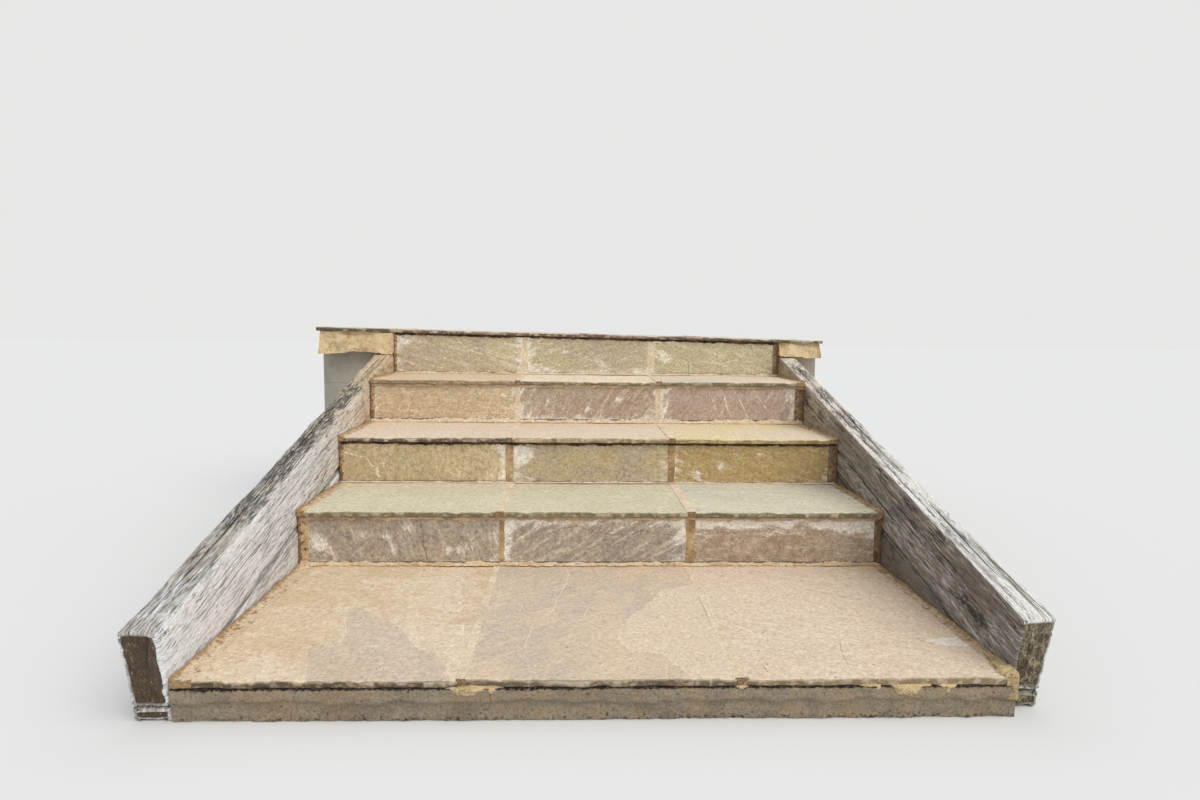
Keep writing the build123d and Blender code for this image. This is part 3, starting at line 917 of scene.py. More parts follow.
@dataclass
class Slab:
    """One riven slab that replaces its node, with sawn sides and, where it is laid, a pitched front edge."""

    node: str
    way: Way
    finish: Stone
    seed: int
    step: float = 0.005
    arris: float = 0.0028
    arris_lines: tuple[float, ...] = (0.0, 0.0006, 0.0014, 0.0028, 0.0055)
    edge_pitch: float = 0.0025
    edge_rings: int = 6
    fall_across: float = 0.0
    fall_along: float = 0.0
    laminae: float = 4.0
    lamina_depth: float = 0.0006
    swell: float = 0.0012

    def build(self, group: Tree) -> None:
        """Makes the slab and its material, and puts it in the place of its node.

        Args:
            group: The node group of the sandstone.
        """
        low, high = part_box(self.node)
        laid = self.way is Way.LAID
        width = high.x - low.x
        length = high.y - low.y if laid else high.z - low.z
        across, along = np.meshgrid(side_lines(width, self.step, self.arris_lines),
                                    side_lines(length, self.step, self.arris_lines), indexing="ij")
        shift = rows_of(across + 3.1 * self.seed, along + 1.7 * self.seed, 0.0)
        lamina = self.laminae * fractal(shift * (1.0, 1.5, 1.0), 0.30, self.seed, 4)
        lift = self.riven_lift(shift, lamina)
        rim = np.minimum.reduce([across, width - across, along, length - along])
        radius = self.arris * (1 + 0.45 * fractal(shift, 0.03, self.seed + 5, 3))
        corner = np.clip(radius - rim, 0.0, None)
        lift = lift - (radius - np.sqrt(np.clip(radius ** 2 - np.minimum(corner, radius) ** 2, 0.0, None)))
        chips = self.chipped_edge(shift, along) if laid else 0.5 * self.chipped_edge(shift, rim)
        lift = lift - chips
        values = self.mark_values(across, along, width, length)
        values.update(lamina=lamina, rim=rim)
        front_line = self.flakes(across, 0.0, width)[0] * np.exp(-along / 0.02) if laid else 0.0
        place = self.laid_place(low, high) if laid else self.upright_place(low, high)
        plate = self.edged_plate(across, along + front_line, lift, shift, place)
        if laid:
            plate.face_skirts = self.front_lip(shift, along)
        material = dressed_material(
            f"sandstone_{self.node}", group,
            fed_by(self.finish, "Ground", "Second", "Streak", "Streak Share", "Patch Tone", "Edge Tone",
                   "Scratches"),
            ("Lamina", "Patch", "Crack", "Vein", "Bloom", "Rim", "Skirt"),
            bearing=self.finish.bearing, from_attribute="lie")
        shell = plate.shell(values)
        shell.values["lie"] = shell.values["lie"] + (3.1 * self.seed, 1.7 * self.seed, 0.0)
        make_piece(f"dressed_{self.node}", shell, material, "sandstone", self.node)

    def riven_lift(self, shift: Array, lamina: Array) -> Array:
        """Height of the riven face, 0 at its highest: a gentle swell, and a scarp at each whole lamina.

        Args:
            shift: Places on the slab.
            lamina: Which lamina lies open at each place.

        Returns:
            Heights of 0 or less, in metres.
        """
        whole = np.floor(lamina)
        scarp = whole + smooth(lamina - whole, 0.0, 0.09)
        ripple = fractal(shift * (1.0, 2.4, 1.0), 0.05, self.seed + 9, 4)
        height = (self.swell * fractal(shift, 0.24, self.seed + 3, 3) + self.lamina_depth * scarp
                  + 0.0004 * ripple)
        return height - height.max()

    def flakes(self, across: Array, share: float, width: float) -> tuple[Array, Array]:
        """How far the pitched front lies behind its straight line: the deepest of many overlapping flakes.

        Each flake is an arc of depth d (1 - ((x - centre) / half width)^2), deepest at its own height.

        Args:
            across: Distance from the left side.
            share: Height on the edge, 0 at its top and 1 at its foot.
            width: Width of the slab.

        Returns:
            Distances of 0 or more, in metres, and the painted shade of the deepest flake, from -1 to 1.
        """
        random = np.random.default_rng(self.seed + 400)
        count = round(width / 0.022)
        centre = random.uniform(-0.01, width + 0.01, count)
        half = random.uniform(0.014, 0.042, count)
        depth = random.uniform(0.0008, 0.0060, count)
        height = random.uniform(0.1, 1.0, count)
        shade = random.uniform(-1.0, 1.0, count)
        arc = 1 - ((across[..., None] - centre) / half) ** 2
        flake = depth * np.clip(arc, 0.0, None) * (1 - 0.75 * np.abs(height - share))
        line = fractal(rows_of(across, 0.37 * self.seed, 0.0), 0.24, self.seed + 11, 2)
        return flake.max(axis=-1) + 0.0012 * (1 + np.clip(line, -1.0, 1.0)), shade[flake.argmax(axis=-1)]

    def front_lip(self, shift: Array, along: Array) -> Array:
        """How much the tone of the pitched edge comes over its upper arris, with a painted highlight along the
        arris: a smooth fall with distance.
        """
        reach = 0.0042 * (1 + 0.6 * np.clip(fractal(shift, 0.018, self.seed + 19, 3), -1.0, 1.0))
        return 0.30 * smooth(-along / reach, -1.0, 0.0)

    def chipped_edge(self, shift: Array, distance: Array) -> Array:
        """Depth of the flakes knocked off an edge: noise above a threshold, falling off from the edge."""
        flake = np.clip(fractal(shift, 0.032, self.seed + 14, 3) - 0.1, 0.0, None)
        return 0.0050 * flake * np.exp(-(distance / 0.007) ** 2)

    def edged_plate(self, across: Array, along: Array, lift: Array, shift: Array, place: Place) -> Plate:
        """The plate with its edge rings: the pitched front goes back to its foot, the sides stay upright.

        Args:
            across: Distance from the left side.
            along: Distance from the front or foot.
            lift: Height of the face.
            shift: Places on the slab.
            place: Where a point of the plate lies.

        Returns:
            The plate.
        """
        loop = grid_border(*across.shape)
        on_front = (border_outward(*across.shape)[:, 1] < 0) & (self.way is Way.LAID)
        width = across.max()
        border_lift = lift.reshape(-1)[loop]
        corner_across = across.reshape(-1)[loop]
        head_line = self.flakes(corner_across, 0.0, width)[0]
        spots = shift.reshape(-1, 3)[loop]
        depths, insets, skirts = [], [], []
        for ring in range(1, self.edge_rings + 1):
            share = ring / self.edge_rings
            rough = fractal(spots + (0.0, 0.0, 0.02 * share), (0.022, 0.022, 0.012), self.seed + 17, 3)
            sawn = 0.0003 * (1 + np.clip(rough, -1, 1))
            hollow, shade = self.flakes(corner_across, share, width)
            pitched = self.edge_pitch * share ** 1.4 + hollow - head_line + 0.0006 * np.clip(rough, -0.8, 1.0)
            depths.append(SLAB_THICKNESS * share - border_lift * (1 - share))
            insets.append(np.where(on_front, pitched, sawn))
            # Painted shade: the edge darkens down its height, in the deeper flake hollows, and by each flake's
            # own painted shade
            dark = 0.30 + 0.36 * share + 0.36 * shade + 0.3 * (hollow / 0.004 - 0.5)
            # The last ring's skirt goes past 1, which draws a painted shadow line along the slab's foot
            foot = 0.7 if ring == self.edge_rings else 0.0
            skirts.append(np.where(on_front, np.clip(dark, 0.16, 0.95), 0.8) + foot)
        return Plate(across, along, lift, np.array(depths), np.array(insets), place, np.array(skirts))

    def laid_place(self, low: Vector, high: Vector) -> Place:
        """Where a point (across, along, lift) of a laid slab lies, with its falls."""
        def place(points: Array) -> Array:
            y = low.y + points[:, 1]
            top = high.z - self.fall_across * points[:, 0] - self.fall_along * (high.y - y)
            return rows_of(low.x + points[:, 0], y, top + points[:, 2])
        return place

    def upright_place(self, low: Vector, high: Vector) -> Place:
        """Where a point (across, up, outward) of an upright slab lies. Its head may fall to the right."""
        def place(points: Array) -> Array:
            head = 1 - self.fall_across * points[:, 0] / (high.z - low.z)
            return rows_of(low.x + points[:, 0], low.y - points[:, 2], low.z + points[:, 1] * head)
        return place

    def mark_values(self, across: Array, along: Array, width: float, length: float) -> dict[str, Array]:
        """Values that draw the slab's marks: patch, crack, vein and bloom.

        Args:
            across: Distance of each point of the face from the left side.
            along: Distance from the front or foot.
            width: Width of the slab.
            length: Length of the slab.

        Returns:
            Values by name.
        """
        spots = rows_of(across, along)
        scale = np.array((width, length))
        warp = rows_of(fractal(rows_of(across, along, 0.0), 0.05, self.seed + 21, 3),
                       fractal(rows_of(across, along, 1.0), 0.05, self.seed + 22, 3))
        spots = spots + 0.0035 * warp
        patch = np.full(across.shape, -0.05)
        lines = {kind: rows_of(np.full(across.shape, FAR_FROM_LINE), 0.0, 0.001)
                 for kind in (MarkKind.CRACK, MarkKind.VEIN)}
        left, right, head, foot = self.finish.bloom
        bloom = (left * np.exp(-across / 0.05) + right * np.exp(-(width - across) / 0.05)
                 + head * np.exp(-(length - along) / 0.035) + foot * np.exp(-along / 0.035))
        for mark in self.finish.marks:
            course = np.array(mark.course) * scale
            if mark.kind is MarkKind.PATCH:
                closed = np.concatenate([course, course[:1]])
                distance = np.abs(course_distance(spots, closed))
                patch = np.maximum(patch, np.where(inside_outline(spots, course), distance, -distance))
            elif mark.kind is MarkKind.SMEAR:
                for centre in course:
                    gap = (spots - centre) / (mark.width * 1.5, mark.width * 1.1)
                    bloom = bloom + mark.strength * np.exp(-(gap ** 2).sum(axis=-1))
            else:
                signed = course_distance(spots, course)
                near = smooth(-np.abs(signed), -0.018, -0.012)
                values = lines[mark.kind]
                closer = np.abs(signed) < np.abs(values[..., 0])
                found = rows_of(signed, near, mark.width)
                lines[mark.kind] = np.where(closer[..., None], found, values)
        return {"patch": patch, "crack": lines[MarkKind.CRACK], "vein": lines[MarkKind.VEIN], "bloom": bloom}


def crack(*course: tuple[float, float], width: float = 0.0022) -> Mark:
    """A dark crack along a course."""
    return Mark(MarkKind.CRACK, course, width)


def vein(*course: tuple[float, float], width: float = 0.0032) -> Mark:
    """A pale vein along a course."""
    return Mark(MarkKind.VEIN, course, width)


def patch(*course: tuple[float, float]) -> Mark:
    """A patch where another lamina lies open, inside a closed outline."""
    return Mark(MarkKind.PATCH, course)


def smear(*spots: tuple[float, float], radius: float = 0.018, strength: float = 0.55) -> Mark:
    """White lime smears at places on the slab."""
    return Mark(MarkKind.SMEAR, spots, radius, strength)


def riser(ground: Tone, second: Tone, streak: Tone, share: float, bearing: float, bloom: Bloom,
          *marks: Mark) -> Stone:
    """The finish of an upright slab, more scratched than a laid one."""
    return Stone(ground, second, streak, share, bearing, scratches=0.6, bloom=bloom, marks=marks)


def flag(ground: Tone, second: Tone, streak: Tone, share: float, bearing: float, edge: Tone,
         scratches: float = 0.25, bloom: Bloom = (0.0, 0.0, 0.0, 0.0)) -> Stone:
    """The finish of a laid slab with no marks of its own."""
    return Stone(ground, second, streak, share, bearing, edge_tone=edge, scratches=scratches, bloom=bloom)


LANDING_BLOOM = (0.1, 0.1, 0.1, 0.0)

LANDING_FINISHES = {
    "left": Stone(
        Tone.TAN, Tone.PALE_BUFF, Tone.PINK_BUFF, 0.4, 12.0, Tone.LILAC_BUFF, Tone.EDGE_DARK, 0.15,
        LANDING_BLOOM, (
            patch((0.44, -0.03), (0.34, 0.22), (0.39, 0.24), (0.45, 0.25), (0.45, 0.32), (0.41, 0.40),
                  (0.38, 0.51), (0.41, 0.55), (0.49, 0.49), (0.58, 0.43), (0.64, 0.39), (0.71, 0.32),
                  (0.78, 0.22), (0.87, 0.18), (0.94, 0.09), (0.99, -0.03)),
            vein((0.60, 0.99), (0.62, 0.86), (0.68, 0.76), (0.69, 0.66), width=0.002),
            vein((0.88, 0.72), (0.9, 0.5), (0.95, 0.36), (0.98, 0.22), width=0.002),
            vein((0.12, 0.62), (0.2, 0.66), (0.3, 0.6), (0.33, 0.52), width=0.0016))),
    "middle": Stone(
        Tone.WARM_BUFF, Tone.LILAC_BUFF, Tone.PALE_BUFF, 0.45, -38.0, Tone.PALE_BUFF, Tone.EDGE_GREY, 0.2,
        LANDING_BLOOM, (
            patch((1.03, 0.74), (0.98, 0.73), (0.84, 0.71), (0.77, 0.6), (0.71, 0.51), (0.65, 0.45),
                  (0.6, 0.35), (0.58, 0.28), (0.6, 0.22), (0.63, 0.18), (0.7, 0.17), (0.75, 0.16),
                  (0.79, 0.09), (0.82, 0.04), (0.85, -0.03), (1.03, -0.03)),
            vein((0.36, 0.99), (0.37, 0.82), (0.33, 0.66), (0.3, 0.5), (0.22, 0.38), (0.2, 0.22),
                 width=0.003),
            vein((0.1, 0.62), (0.16, 0.55), (0.15, 0.42), (0.09, 0.36), width=0.0018),
            vein((0.42, 0.56), (0.46, 0.52), (0.44, 0.43), (0.4, 0.4), width=0.002))),
    "right": Stone(
        Tone.PINK_BUFF, Tone.PALE_BUFF, Tone.MAUVE, 0.25, 30.0, Tone.LIME, Tone.EDGE_BUFF, 0.22,
        LANDING_BLOOM, (
            patch((0.83, 0.25), (1.03, 0.29), (1.03, 0.21), (0.9, 0.21)),
            crack((0.47, 0.26), (0.43, 0.14), (0.42, 0.06), (0.46, 0.01), width=0.0014),
            vein((0.16, 0.9), (0.13, 0.78), (0.17, 0.7), (0.15, 0.6), width=0.0016),
            vein((0.12, 0.2), (0.24, 0.26), (0.33, 0.27), width=0.0018),
            smear((0.36, 0.31), (0.40, 0.26), (0.45, 0.24), (0.50, 0.26), (0.54, 0.27), (0.53, 0.31),
                  (0.66, 0.32), (0.79, 0.79), radius=0.022, strength=0.26))),
}

RISER_FINISHES = {
    (1, "left"): riser(
        Tone.GREY_BROWN, Tone.BROWN_BUFF, Tone.COOL_GREY, 0.35, 68.0, (0.35, 0.5, 0.2, 0.3),
        crack((0.57, 1.0), (0.59, 0.74), (0.6, 0.56), (0.59, 0.42), (0.61, 0.24), (0.62, 0.0), width=0.004),
        smear((0.05, 0.5), (0.07, 0.34), (0.29, 0.6), (0.41, 0.56), (0.44, 0.3), (0.52, 0.74), (0.73, 0.28),
              (0.82, 0.3), radius=0.020, strength=0.5)),
    (1, "middle"): riser(
        Tone.GREY_BROWN, Tone.BROWN_BUFF, Tone.CREAM, 0.4, -32.0, (0.8, 0.8, 1.0, 0.2),
        crack((0.28, 0.74), (0.31, 0.74), (0.39, 0.8), (0.51, 0.67), (0.6, 0.64), (0.7, 0.63), (0.75, 0.7),
              (0.81, 0.66), (0.91, 0.63), width=0.0028)),
    (1, "right"): riser(
        Tone.UMBER_BUFF, Tone.BROWN_BUFF, Tone.PINK_BUFF, 0.4, 3.0, (0.3, 0.45, 1.3, 0.2),
        smear((0.1, 0.9), (0.2, 0.88), (0.34, 0.92), (0.52, 0.9), (0.7, 0.9), (0.78, 0.86), (0.86, 0.82),
              (0.93, 0.88), radius=0.017, strength=0.85),
        vein((0.34, 0.66), (0.41, 0.58), (0.45, 0.7), (0.52, 0.6), (0.58, 0.66), width=0.002)),
    (2, "left"): riser(
        Tone.OLIVE_BUFF, Tone.TAN, Tone.OCHRE, 0.35, 84.0, (0.2, 0.9, 0.2, 0.2),
        vein((0.0, 0.72), (0.06, 0.69), (0.14, 0.62), (0.17, 0.4), (0.2, 0.31), (0.21, 0.13), (0.23, 0.0),
             width=0.006),
        vein((0.66, 1.0), (0.67, 0.77), (0.7, 0.7), (0.71, 0.45), (0.7, 0.27), (0.72, 0.0), width=0.002)),
    (2, "middle"): riser(
        Tone.OLIVE_BUFF, Tone.BROWN_BUFF, Tone.DEEP_OCHRE, 0.5, 10.0, (0.45, 0.5, 0.3, 0.4),
        smear((0.04, 0.75), (0.08, 0.68), (0.05, 0.6), radius=0.026)),
    (2, "right"): riser(
        Tone.DEEP_OCHRE, Tone.DEEP_OCHRE, Tone.OLIVE_BUFF, 0.4, 16.0, (0.5, 0.4, 0.2, 0.4),
        smear((0.15, 0.2), (0.3, 0.4), (0.55, 0.75), radius=0.016)),
    (3, "left"): riser(Tone.TAN, Tone.DUST, Tone.CREAM, 0.35, 2.0, (0.4, 0.5, 0.5, 0.3)),
    (3, "middle"): riser(
        Tone.PURPLE_BROWN, Tone.BROWN_BUFF, Tone.CREAM, 0.3, -58.0, (0.5, 0.4, 0.3, 0.7),
        smear((0.2, 0.5), (0.5, 0.3), (0.72, 0.6), radius=0.015)),
    (3, "right"): riser(
        Tone.MAUVE, Tone.PURPLE_BROWN, Tone.CREAM, 0.25, -62.0, (0.9, 0.8, 0.2, 0.3),
        vein((0.46, 0.78), (0.49, 0.4), (0.53, 0.02), width=0.003),
        vein((0.53, 0.95), (0.6, 0.5), (0.66, 0.03), width=0.003),
        vein((0.68, 0.96), (0.74, 0.6), (0.8, 0.26), width=0.003),
        vein((0.36, 0.8), (0.4, 0.45), (0.42, 0.2), width=0.0024)),
    (4, "left"): riser(
        Tone.PALE_OLIVE, Tone.BROWN_BUFF, Tone.CREAM, 0.4, 14.0, (0.8, 0.7, 0.3, 0.2),
        vein((0.47, 0.94), (0.55, 0.63), (0.76, 0.42), (0.94, 0.16)),
        vein((0.01, 0.35), (0.21, 0.09), (0.29, 0.0)),
        smear((0.06, 0.8), (0.37, 0.6), (0.38, 0.35), (0.36, 0.15), radius=0.013)),
    (4, "middle"): riser(
        Tone.OLIVE_GREY, Tone.BROWN_BUFF, Tone.CREAM, 0.35, -18.0, (0.9, 0.3, 0.2, 0.7),
        smear((0.3, 0.6), (0.62, 0.3), radius=0.016)),
    (4, "right"): riser(
        Tone.PALE_OLIVE, Tone.OLIVE_GREY, Tone.CREAM, 0.4, 24.0, (0.5, 0.2, 0.3, 0.2),
        crack((0.29, 0.26), (0.29, 0.0), width=0.003),
        vein((0.29, 0.3), (0.32, 0.32), (0.43, 0.38), (0.56, 0.3), (0.7, 0.45)),
        smear((0.08, 0.6), (0.12, 0.4), radius=0.022)),
}

TREAD_FINISHES = {
    (1, "left"): flag(Tone.GREEN_GREY, Tone.PALE_GREEN, Tone.CREAM, 0.2, 18.0, Tone.EDGE_OLIVE),
    (1, "middle"): flag(Tone.GREEN_GREY, Tone.PALE_GREEN, Tone.COOL_GREY, 0.3, -28.0, Tone.EDGE_OLIVE),
    (1, "right"): flag(Tone.PALE_GREEN, Tone.COOL_GREY, Tone.CREAM, 0.35, 8.0, Tone.EDGE_OLIVE,
                       bloom=(0.1, 0.8, 0.1, 0.0)),
    (2, "left"): flag(Tone.PINK_BUFF, Tone.PALE_BUFF, Tone.CREAM, 0.2, 10.0, Tone.EDGE_PURPLE),
    (2, "middle"): flag(Tone.PALE_BUFF, Tone.PINK_BUFF, Tone.CREAM, 0.3, -22.0, Tone.EDGE_BUFF),
    (2, "right"): flag(Tone.YELLOW_BUFF, Tone.PALE_BUFF, Tone.CREAM, 0.2, 26.0, Tone.EDGE_OCHRE),
    (3, "left"): flag(Tone.WARM_BUFF, Tone.TAN, Tone.CREAM, 0.2, 4.0, Tone.EDGE_BUFF),
    (3, "middle"): flag(Tone.PALE_BUFF, Tone.CREAM, Tone.CREAM, 0.3, -12.0, Tone.EDGE_OLIVE),
    (3, "right"): flag(Tone.COOL_GREY, Tone.PALE_BUFF, Tone.CREAM, 0.3, 20.0, Tone.EDGE_OLIVE),
}

TOP_FINISHES = {
    1: flag(Tone.GREY_LILAC, Tone.COOL_GREY, Tone.CREAM, 0.3, 15.0, Tone.EDGE_DARK),
    2: flag(Tone.PALE_BUFF, Tone.GREY_LILAC, Tone.CREAM, 0.35, -20.0, Tone.EDGE_PURPLE),
    3: flag(Tone.GREY_LILAC, Tone.PURPLE_BROWN, Tone.CREAM, 0.3, 32.0, Tone.EDGE_PURPLE, 0.4),
    4: flag(Tone.COOL_GREY, Tone.CREAM, Tone.GREY_LILAC, 0.3, 5.0, Tone.EDGE_DARK, 0.2),
}


@dataclass
class StoneWork:
    """All the slabs: the landing, the rises, the treads and the top row."""

    landing_step: float = 0.006
    tread_step: float = 0.0058
    riser_step: float = 0.0047
    top_step: float = 0.008

    def slabs(self) -> list[Slab]:
        """Every slab with its place, its finish and the size of its grid."""
        made = [Slab(f"landing_slab_{place}", Way.LAID, LANDING_FINISHES[place], 11 + number,
                     self.landing_step, fall_along=LANDING_FALL, laminae=3.0)
                for number, place in enumerate(PLACES)]
        made += [Slab(f"riser_slab_{step}_{place}", Way.UPRIGHT, RISER_FINISHES[step, place],
                      20 + 3 * step + number, self.riser_step, arris=0.0020,
                      fall_across=TOP_ROW_FALL if step == RISES[-1] else 0.0, laminae=5.0)
                 for step in RISES for number, place in enumerate(PLACES)]
        made += [Slab(f"tread_slab_{step}_{place}", Way.LAID, TREAD_FINISHES[step, place],
                      40 + 3 * step + number, self.tread_step)
                 for step in TREADS for number, place in enumerate(PLACES)]
        made += [Slab(f"top_slab_{number}", Way.LAID, finish, 60 + number, self.top_step,
                      fall_across=TOP_ROW_FALL, lamina_depth=0.0009)
                 for number, finish in TOP_FINISHES.items()]
        return made

    def build(self) -> None:
        """Makes every slab."""
        group = sandstone_group()
        for slab in self.slabs():
            slab.build(group)


# Timber


class Face(Enum):
    """The four long faces of a sleeper, in order round it."""

    TOP = 0
    OUTER = 1
    FOOT = 2
    INNER = 3


@dataclass(frozen=True)
class Split:
    """A seasoning check: the middle of it along and across its face, its length, width, depth and wander."""

    face: Face
    along: float
    across: float
    length: float
    width: float = 0.005
    depth: float = 0.009
    wander: float = 0.004


@dataclass(frozen=True)
class Knot:
    """A knot in a face, or a dark patch, some of which are painted shade: its place along and across, and its
    radius.
    """

    face: Face
    along: float
    across: float
    radius: float = 0.016


@dataclass(frozen=True)
class OakFinish:
    """The finish of one sleeper. weather gives how silvered the top, outer, foot and inner face are."""

    silver: Tone
    brown: Tone
    dark: Tone
    dark_share: float
    weather: tuple[float, float, float, float]
    end_tone: Tone = Tone.END_BROWN
    fleck_share: float = 0.7
    tan_share: float = 0.0
    blotch_and_shade: tuple[Knot, ...] = ()


SHARED_SPLITS = (
    Split(Face.INNER, 0.420, 0.062, 0.520, 0.003), Split(Face.INNER, 1.010, 0.118, 0.700, 0.0034),
    Split(Face.INNER, 1.640, 0.074, 0.560, 0.003), Split(Face.TOP, 0.380, 0.046, 0.430, 0.005),
    Split(Face.TOP, 1.180, 0.058, 0.820, 0.007), Split(Face.TOP, 1.860, 0.040, 0.360, 0.004),
    Split(Face.OUTER, 0.560, 0.088, 0.640, 0.006), Split(Face.OUTER, 1.480, 0.126, 0.760),
)
# The two seam lines are dark checks drawn where the upper and lower sleeper meet: painted shade of the groove
# between them
BED_SEAM = Split(Face.INNER, 1.100, 0.1935, 3.600, 0.0052, 0.003, 0.0005)
HEAD_SEAM = Split(Face.INNER, 1.000, 0.0065, 3.600, 0.0030, 0.003, 0.0005)
RIGHT_TOP_SPLITS = (
    Split(Face.TOP, 0.300, 0.022, 0.520, 0.003), Split(Face.TOP, 0.210, 0.058, 0.360, 0.0036),
    Split(Face.TOP, 0.760, 0.026, 0.760, 0.004), Split(Face.TOP, 1.500, 0.030, 0.620, 0.003),
)


@dataclass
class Sleeper:
    """A raking oak sleeper, square at its front end and plumb at its rear, that replaces its node."""

    node: str
    side: int
    finish: OakFinish
    seed: int
    splits: tuple[Split, ...]
    knots: tuple[Knot, ...] = ()
    lean: float = math.atan(SLEEPER_SLOPE)
    thickness: float = field(init=False)
    depth: float = 0.200
    arris: float = 0.006
    wane: float = 0.003
    wane_reach: float = 0.010
    along_step: float = 0.012
    round_step: float = 0.0032
    end_lines: tuple[float, ...] = (0.0, 0.0008, 0.002, 0.004, 0.007, 0.012)
    end_rings: int = 16
    split_angle: float = -1.75
    hair_splits: int = 34

    def __post_init__(self) -> None:
        """Reads the thickness from the node."""
        low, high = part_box(self.node)
        self.thickness = high.x - low.x

    def build(self, group: Tree) -> None:
        """Makes the sleeper and its material, and puts it in the place of its node.

        Args:
            group: The node group of the oak.
        """
        low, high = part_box(self.node)
        run = high.y - low.y
        base = np.array((low.x if self.side > 0 else high.x, low.y, high.z - math.tan(self.lean) * run))
        outwards, down, normal, weights = self.section()
        longest = run / math.cos(self.lean)
        stations = side_lines(longest, self.along_step, self.end_lines)
        reach = (run - down * math.sin(self.lean)) / math.cos(self.lean)
        along = stations[:, None] / longest * reach[None, :]
        depth, values = self.weathering(along, outwards, down, weights)
        near_end = np.clip(self.arris - along, 0.0, None)
        depth = depth + self.arris - np.sqrt(self.arris ** 2 - np.minimum(near_end, self.arris) ** 2)
        ragged = fractal(rows_of(along, outwards + self.seed, down), (0.03, 0.035, 0.02), self.seed + 50, 3)
        depth = depth + 0.0035 * np.exp(-along / 0.014) * np.clip(0.5 + ragged, 0.0, None)
        out = outwards - normal[:, 0] * depth
        over_ground = (base[2] + along * math.sin(self.lean)) / math.cos(self.lean)
        buried = np.minimum(1.0, over_ground / self.depth)
        drop = down * buried - normal[:, 1] * depth
        shell = self.closed(along, out, drop, values, base)
        material = dressed_material(
            f"oak_{self.node}", group,
            fed_by(self.finish, "Silver", "Brown", "Dark", "End Tone", "Dark Share", "Fleck Share",
                   "Tan Share"),
            ("Weather", "Blotch_And_Shade", "Check", "Knot", "End", "Ring"), from_attribute="grain", bump=0.9)
        make_piece(f"dressed_{self.node}", shell, material, "oak", self.node)

    @property
    def grain_shift(self) -> float:
        """How far the grain is moved outwards, so that no two sleepers have the same."""
        return 0.61 * self.seed

    def rings_at(self, outwards: Array, down: Array) -> Array:
        """Distance from the pith, which lies below the sleeper, at a place on its section."""
        return np.hypot(outwards - 0.3 * self.thickness, down - 1.25 * self.depth)

    def section(self) -> tuple[Array, Array, Array, Array]:
        """The outline of the sleeper, round its four faces, with rounded arrises.

        Returns:
            Distance outwards, distance down, outward normal, and how much of each face a point has.
        """
        radius, width, depth = self.arris, self.thickness, self.depth
        corners = ((width, 0.0), (width, depth), (0.0, depth), (0.0, 0.0))
        runs = ((1, 0), (0, 1), (-1, 0), (0, -1))
        points, normals, faces = [], [], []
        start = np.array((0.0, 0.0))
        for number, (corner, run) in enumerate(zip(corners, runs)):
            run = np.array(run, dtype=float)
            out = np.array((run[1], -run[0]))
            side_length = abs((np.array(corner) - start) @ run)
            count = round((side_length - 2 * radius) / self.round_step)
            share = np.linspace(radius, side_length - radius, count + 1)
            points.append(start + share[:, None] * run)
            normals.append(np.tile(out, (count + 1, 1)))
            faces.append(np.full(count + 1, float(number)))
            turn = np.radians((30.0, 60.0))[:, None]
            centre = np.array(corner) - radius * run - radius * out
            bend = out * np.cos(turn) + run * np.sin(turn)
            points.append(centre + radius * bend)
            normals.append(bend)
            faces.append(number + np.array((0.33, 0.67)))
            start = np.array(corner)
        outline, normal, face = np.concatenate(points), np.concatenate(normals), np.concatenate(faces)
        gap = np.abs(face[:, None] - np.array((0.0, 1.0, 2.0, 3.0)))
        weights = np.clip(1 - np.minimum(gap, 4 - gap), 0.0, 1.0)
        return outline[:, 0], outline[:, 1], normal, weights

    def weathering(self, along: Array, outwards: Array, down: Array,
                   weights: Array) -> tuple[Array, dict[str, Array]]:
        """How far the weather has eaten in at each point, and the values that colour it.

        Args:
            along: Distance along the sleeper.
            outwards: Distance outwards of each point of the section.
            down: Distance down of each point of the section.
            weights: How much of each face a point has.

        Returns:
            Depths of 0 or more, and values by name.
        """
        shape = along.shape
        outwards, down = np.broadcast_to(outwards, shape), np.broadcast_to(down, shape)
        across = {Face.TOP: outwards, Face.OUTER: down, Face.FOOT: outwards, Face.INNER: down}
        place = rows_of(along, outwards + self.grain_shift, down)
        knot = np.full(shape, 0.2)
        warp = np.zeros(shape)
        for mark in self.knots:
            gap_along = (along - mark.along) / 1.9
            gap_across = across[mark.face] - mark.across
            distance = np.hypot(gap_along, gap_across) * 0.016 / mark.radius
            held = weights[:, mark.face.value] > 0.5
            knot = np.where(held, np.minimum(knot, distance), knot)
            bulge = mark.radius * np.exp(-(distance / 0.035) ** 2)
            warp = warp + np.where(held, np.sign(gap_across) * bulge, 0.0)
        fibre = fractal(place, (0.16, 0.0045, 0.0045), self.seed, 3)
        groove = fractal(place, (0.5, 0.016, 0.016), self.seed + 4, 3)
        bow = fractal(place, (0.45, 0.09, 0.09), self.seed + 7, 3)
        gap_out = np.minimum(outwards, self.thickness - outwards)
        corner = np.exp(-(np.hypot(gap_out, np.minimum(down, self.depth - down)) / self.wane_reach) ** 2)
        wane = self.wane * corner * (1 + fractal(place, (0.14, 0.05, 0.05), self.seed + 8, 3))
        depth = (0.0005 * (1 + np.clip(fibre, -1, 1)) + 0.0008 * (1 + np.clip(groove, -1, 1))
                 + 0.0012 * (1 + np.clip(bow, -1, 1)) + np.clip(wane, 0.0, None))
        check, cut = self.opened_splits(along, across, weights)
        blotch_and_shade = np.zeros(shape)
        for mark in self.finish.blotch_and_shade:
            gap = np.hypot((along - mark.along) / 3.0, across[mark.face] - mark.across) / mark.radius
            held = weights[:, mark.face.value]
            blotch_and_shade = np.maximum(blotch_and_shade, held * np.exp(-gap ** 2))
        weather = np.broadcast_to(weights @ np.array(self.finish.weather), shape)
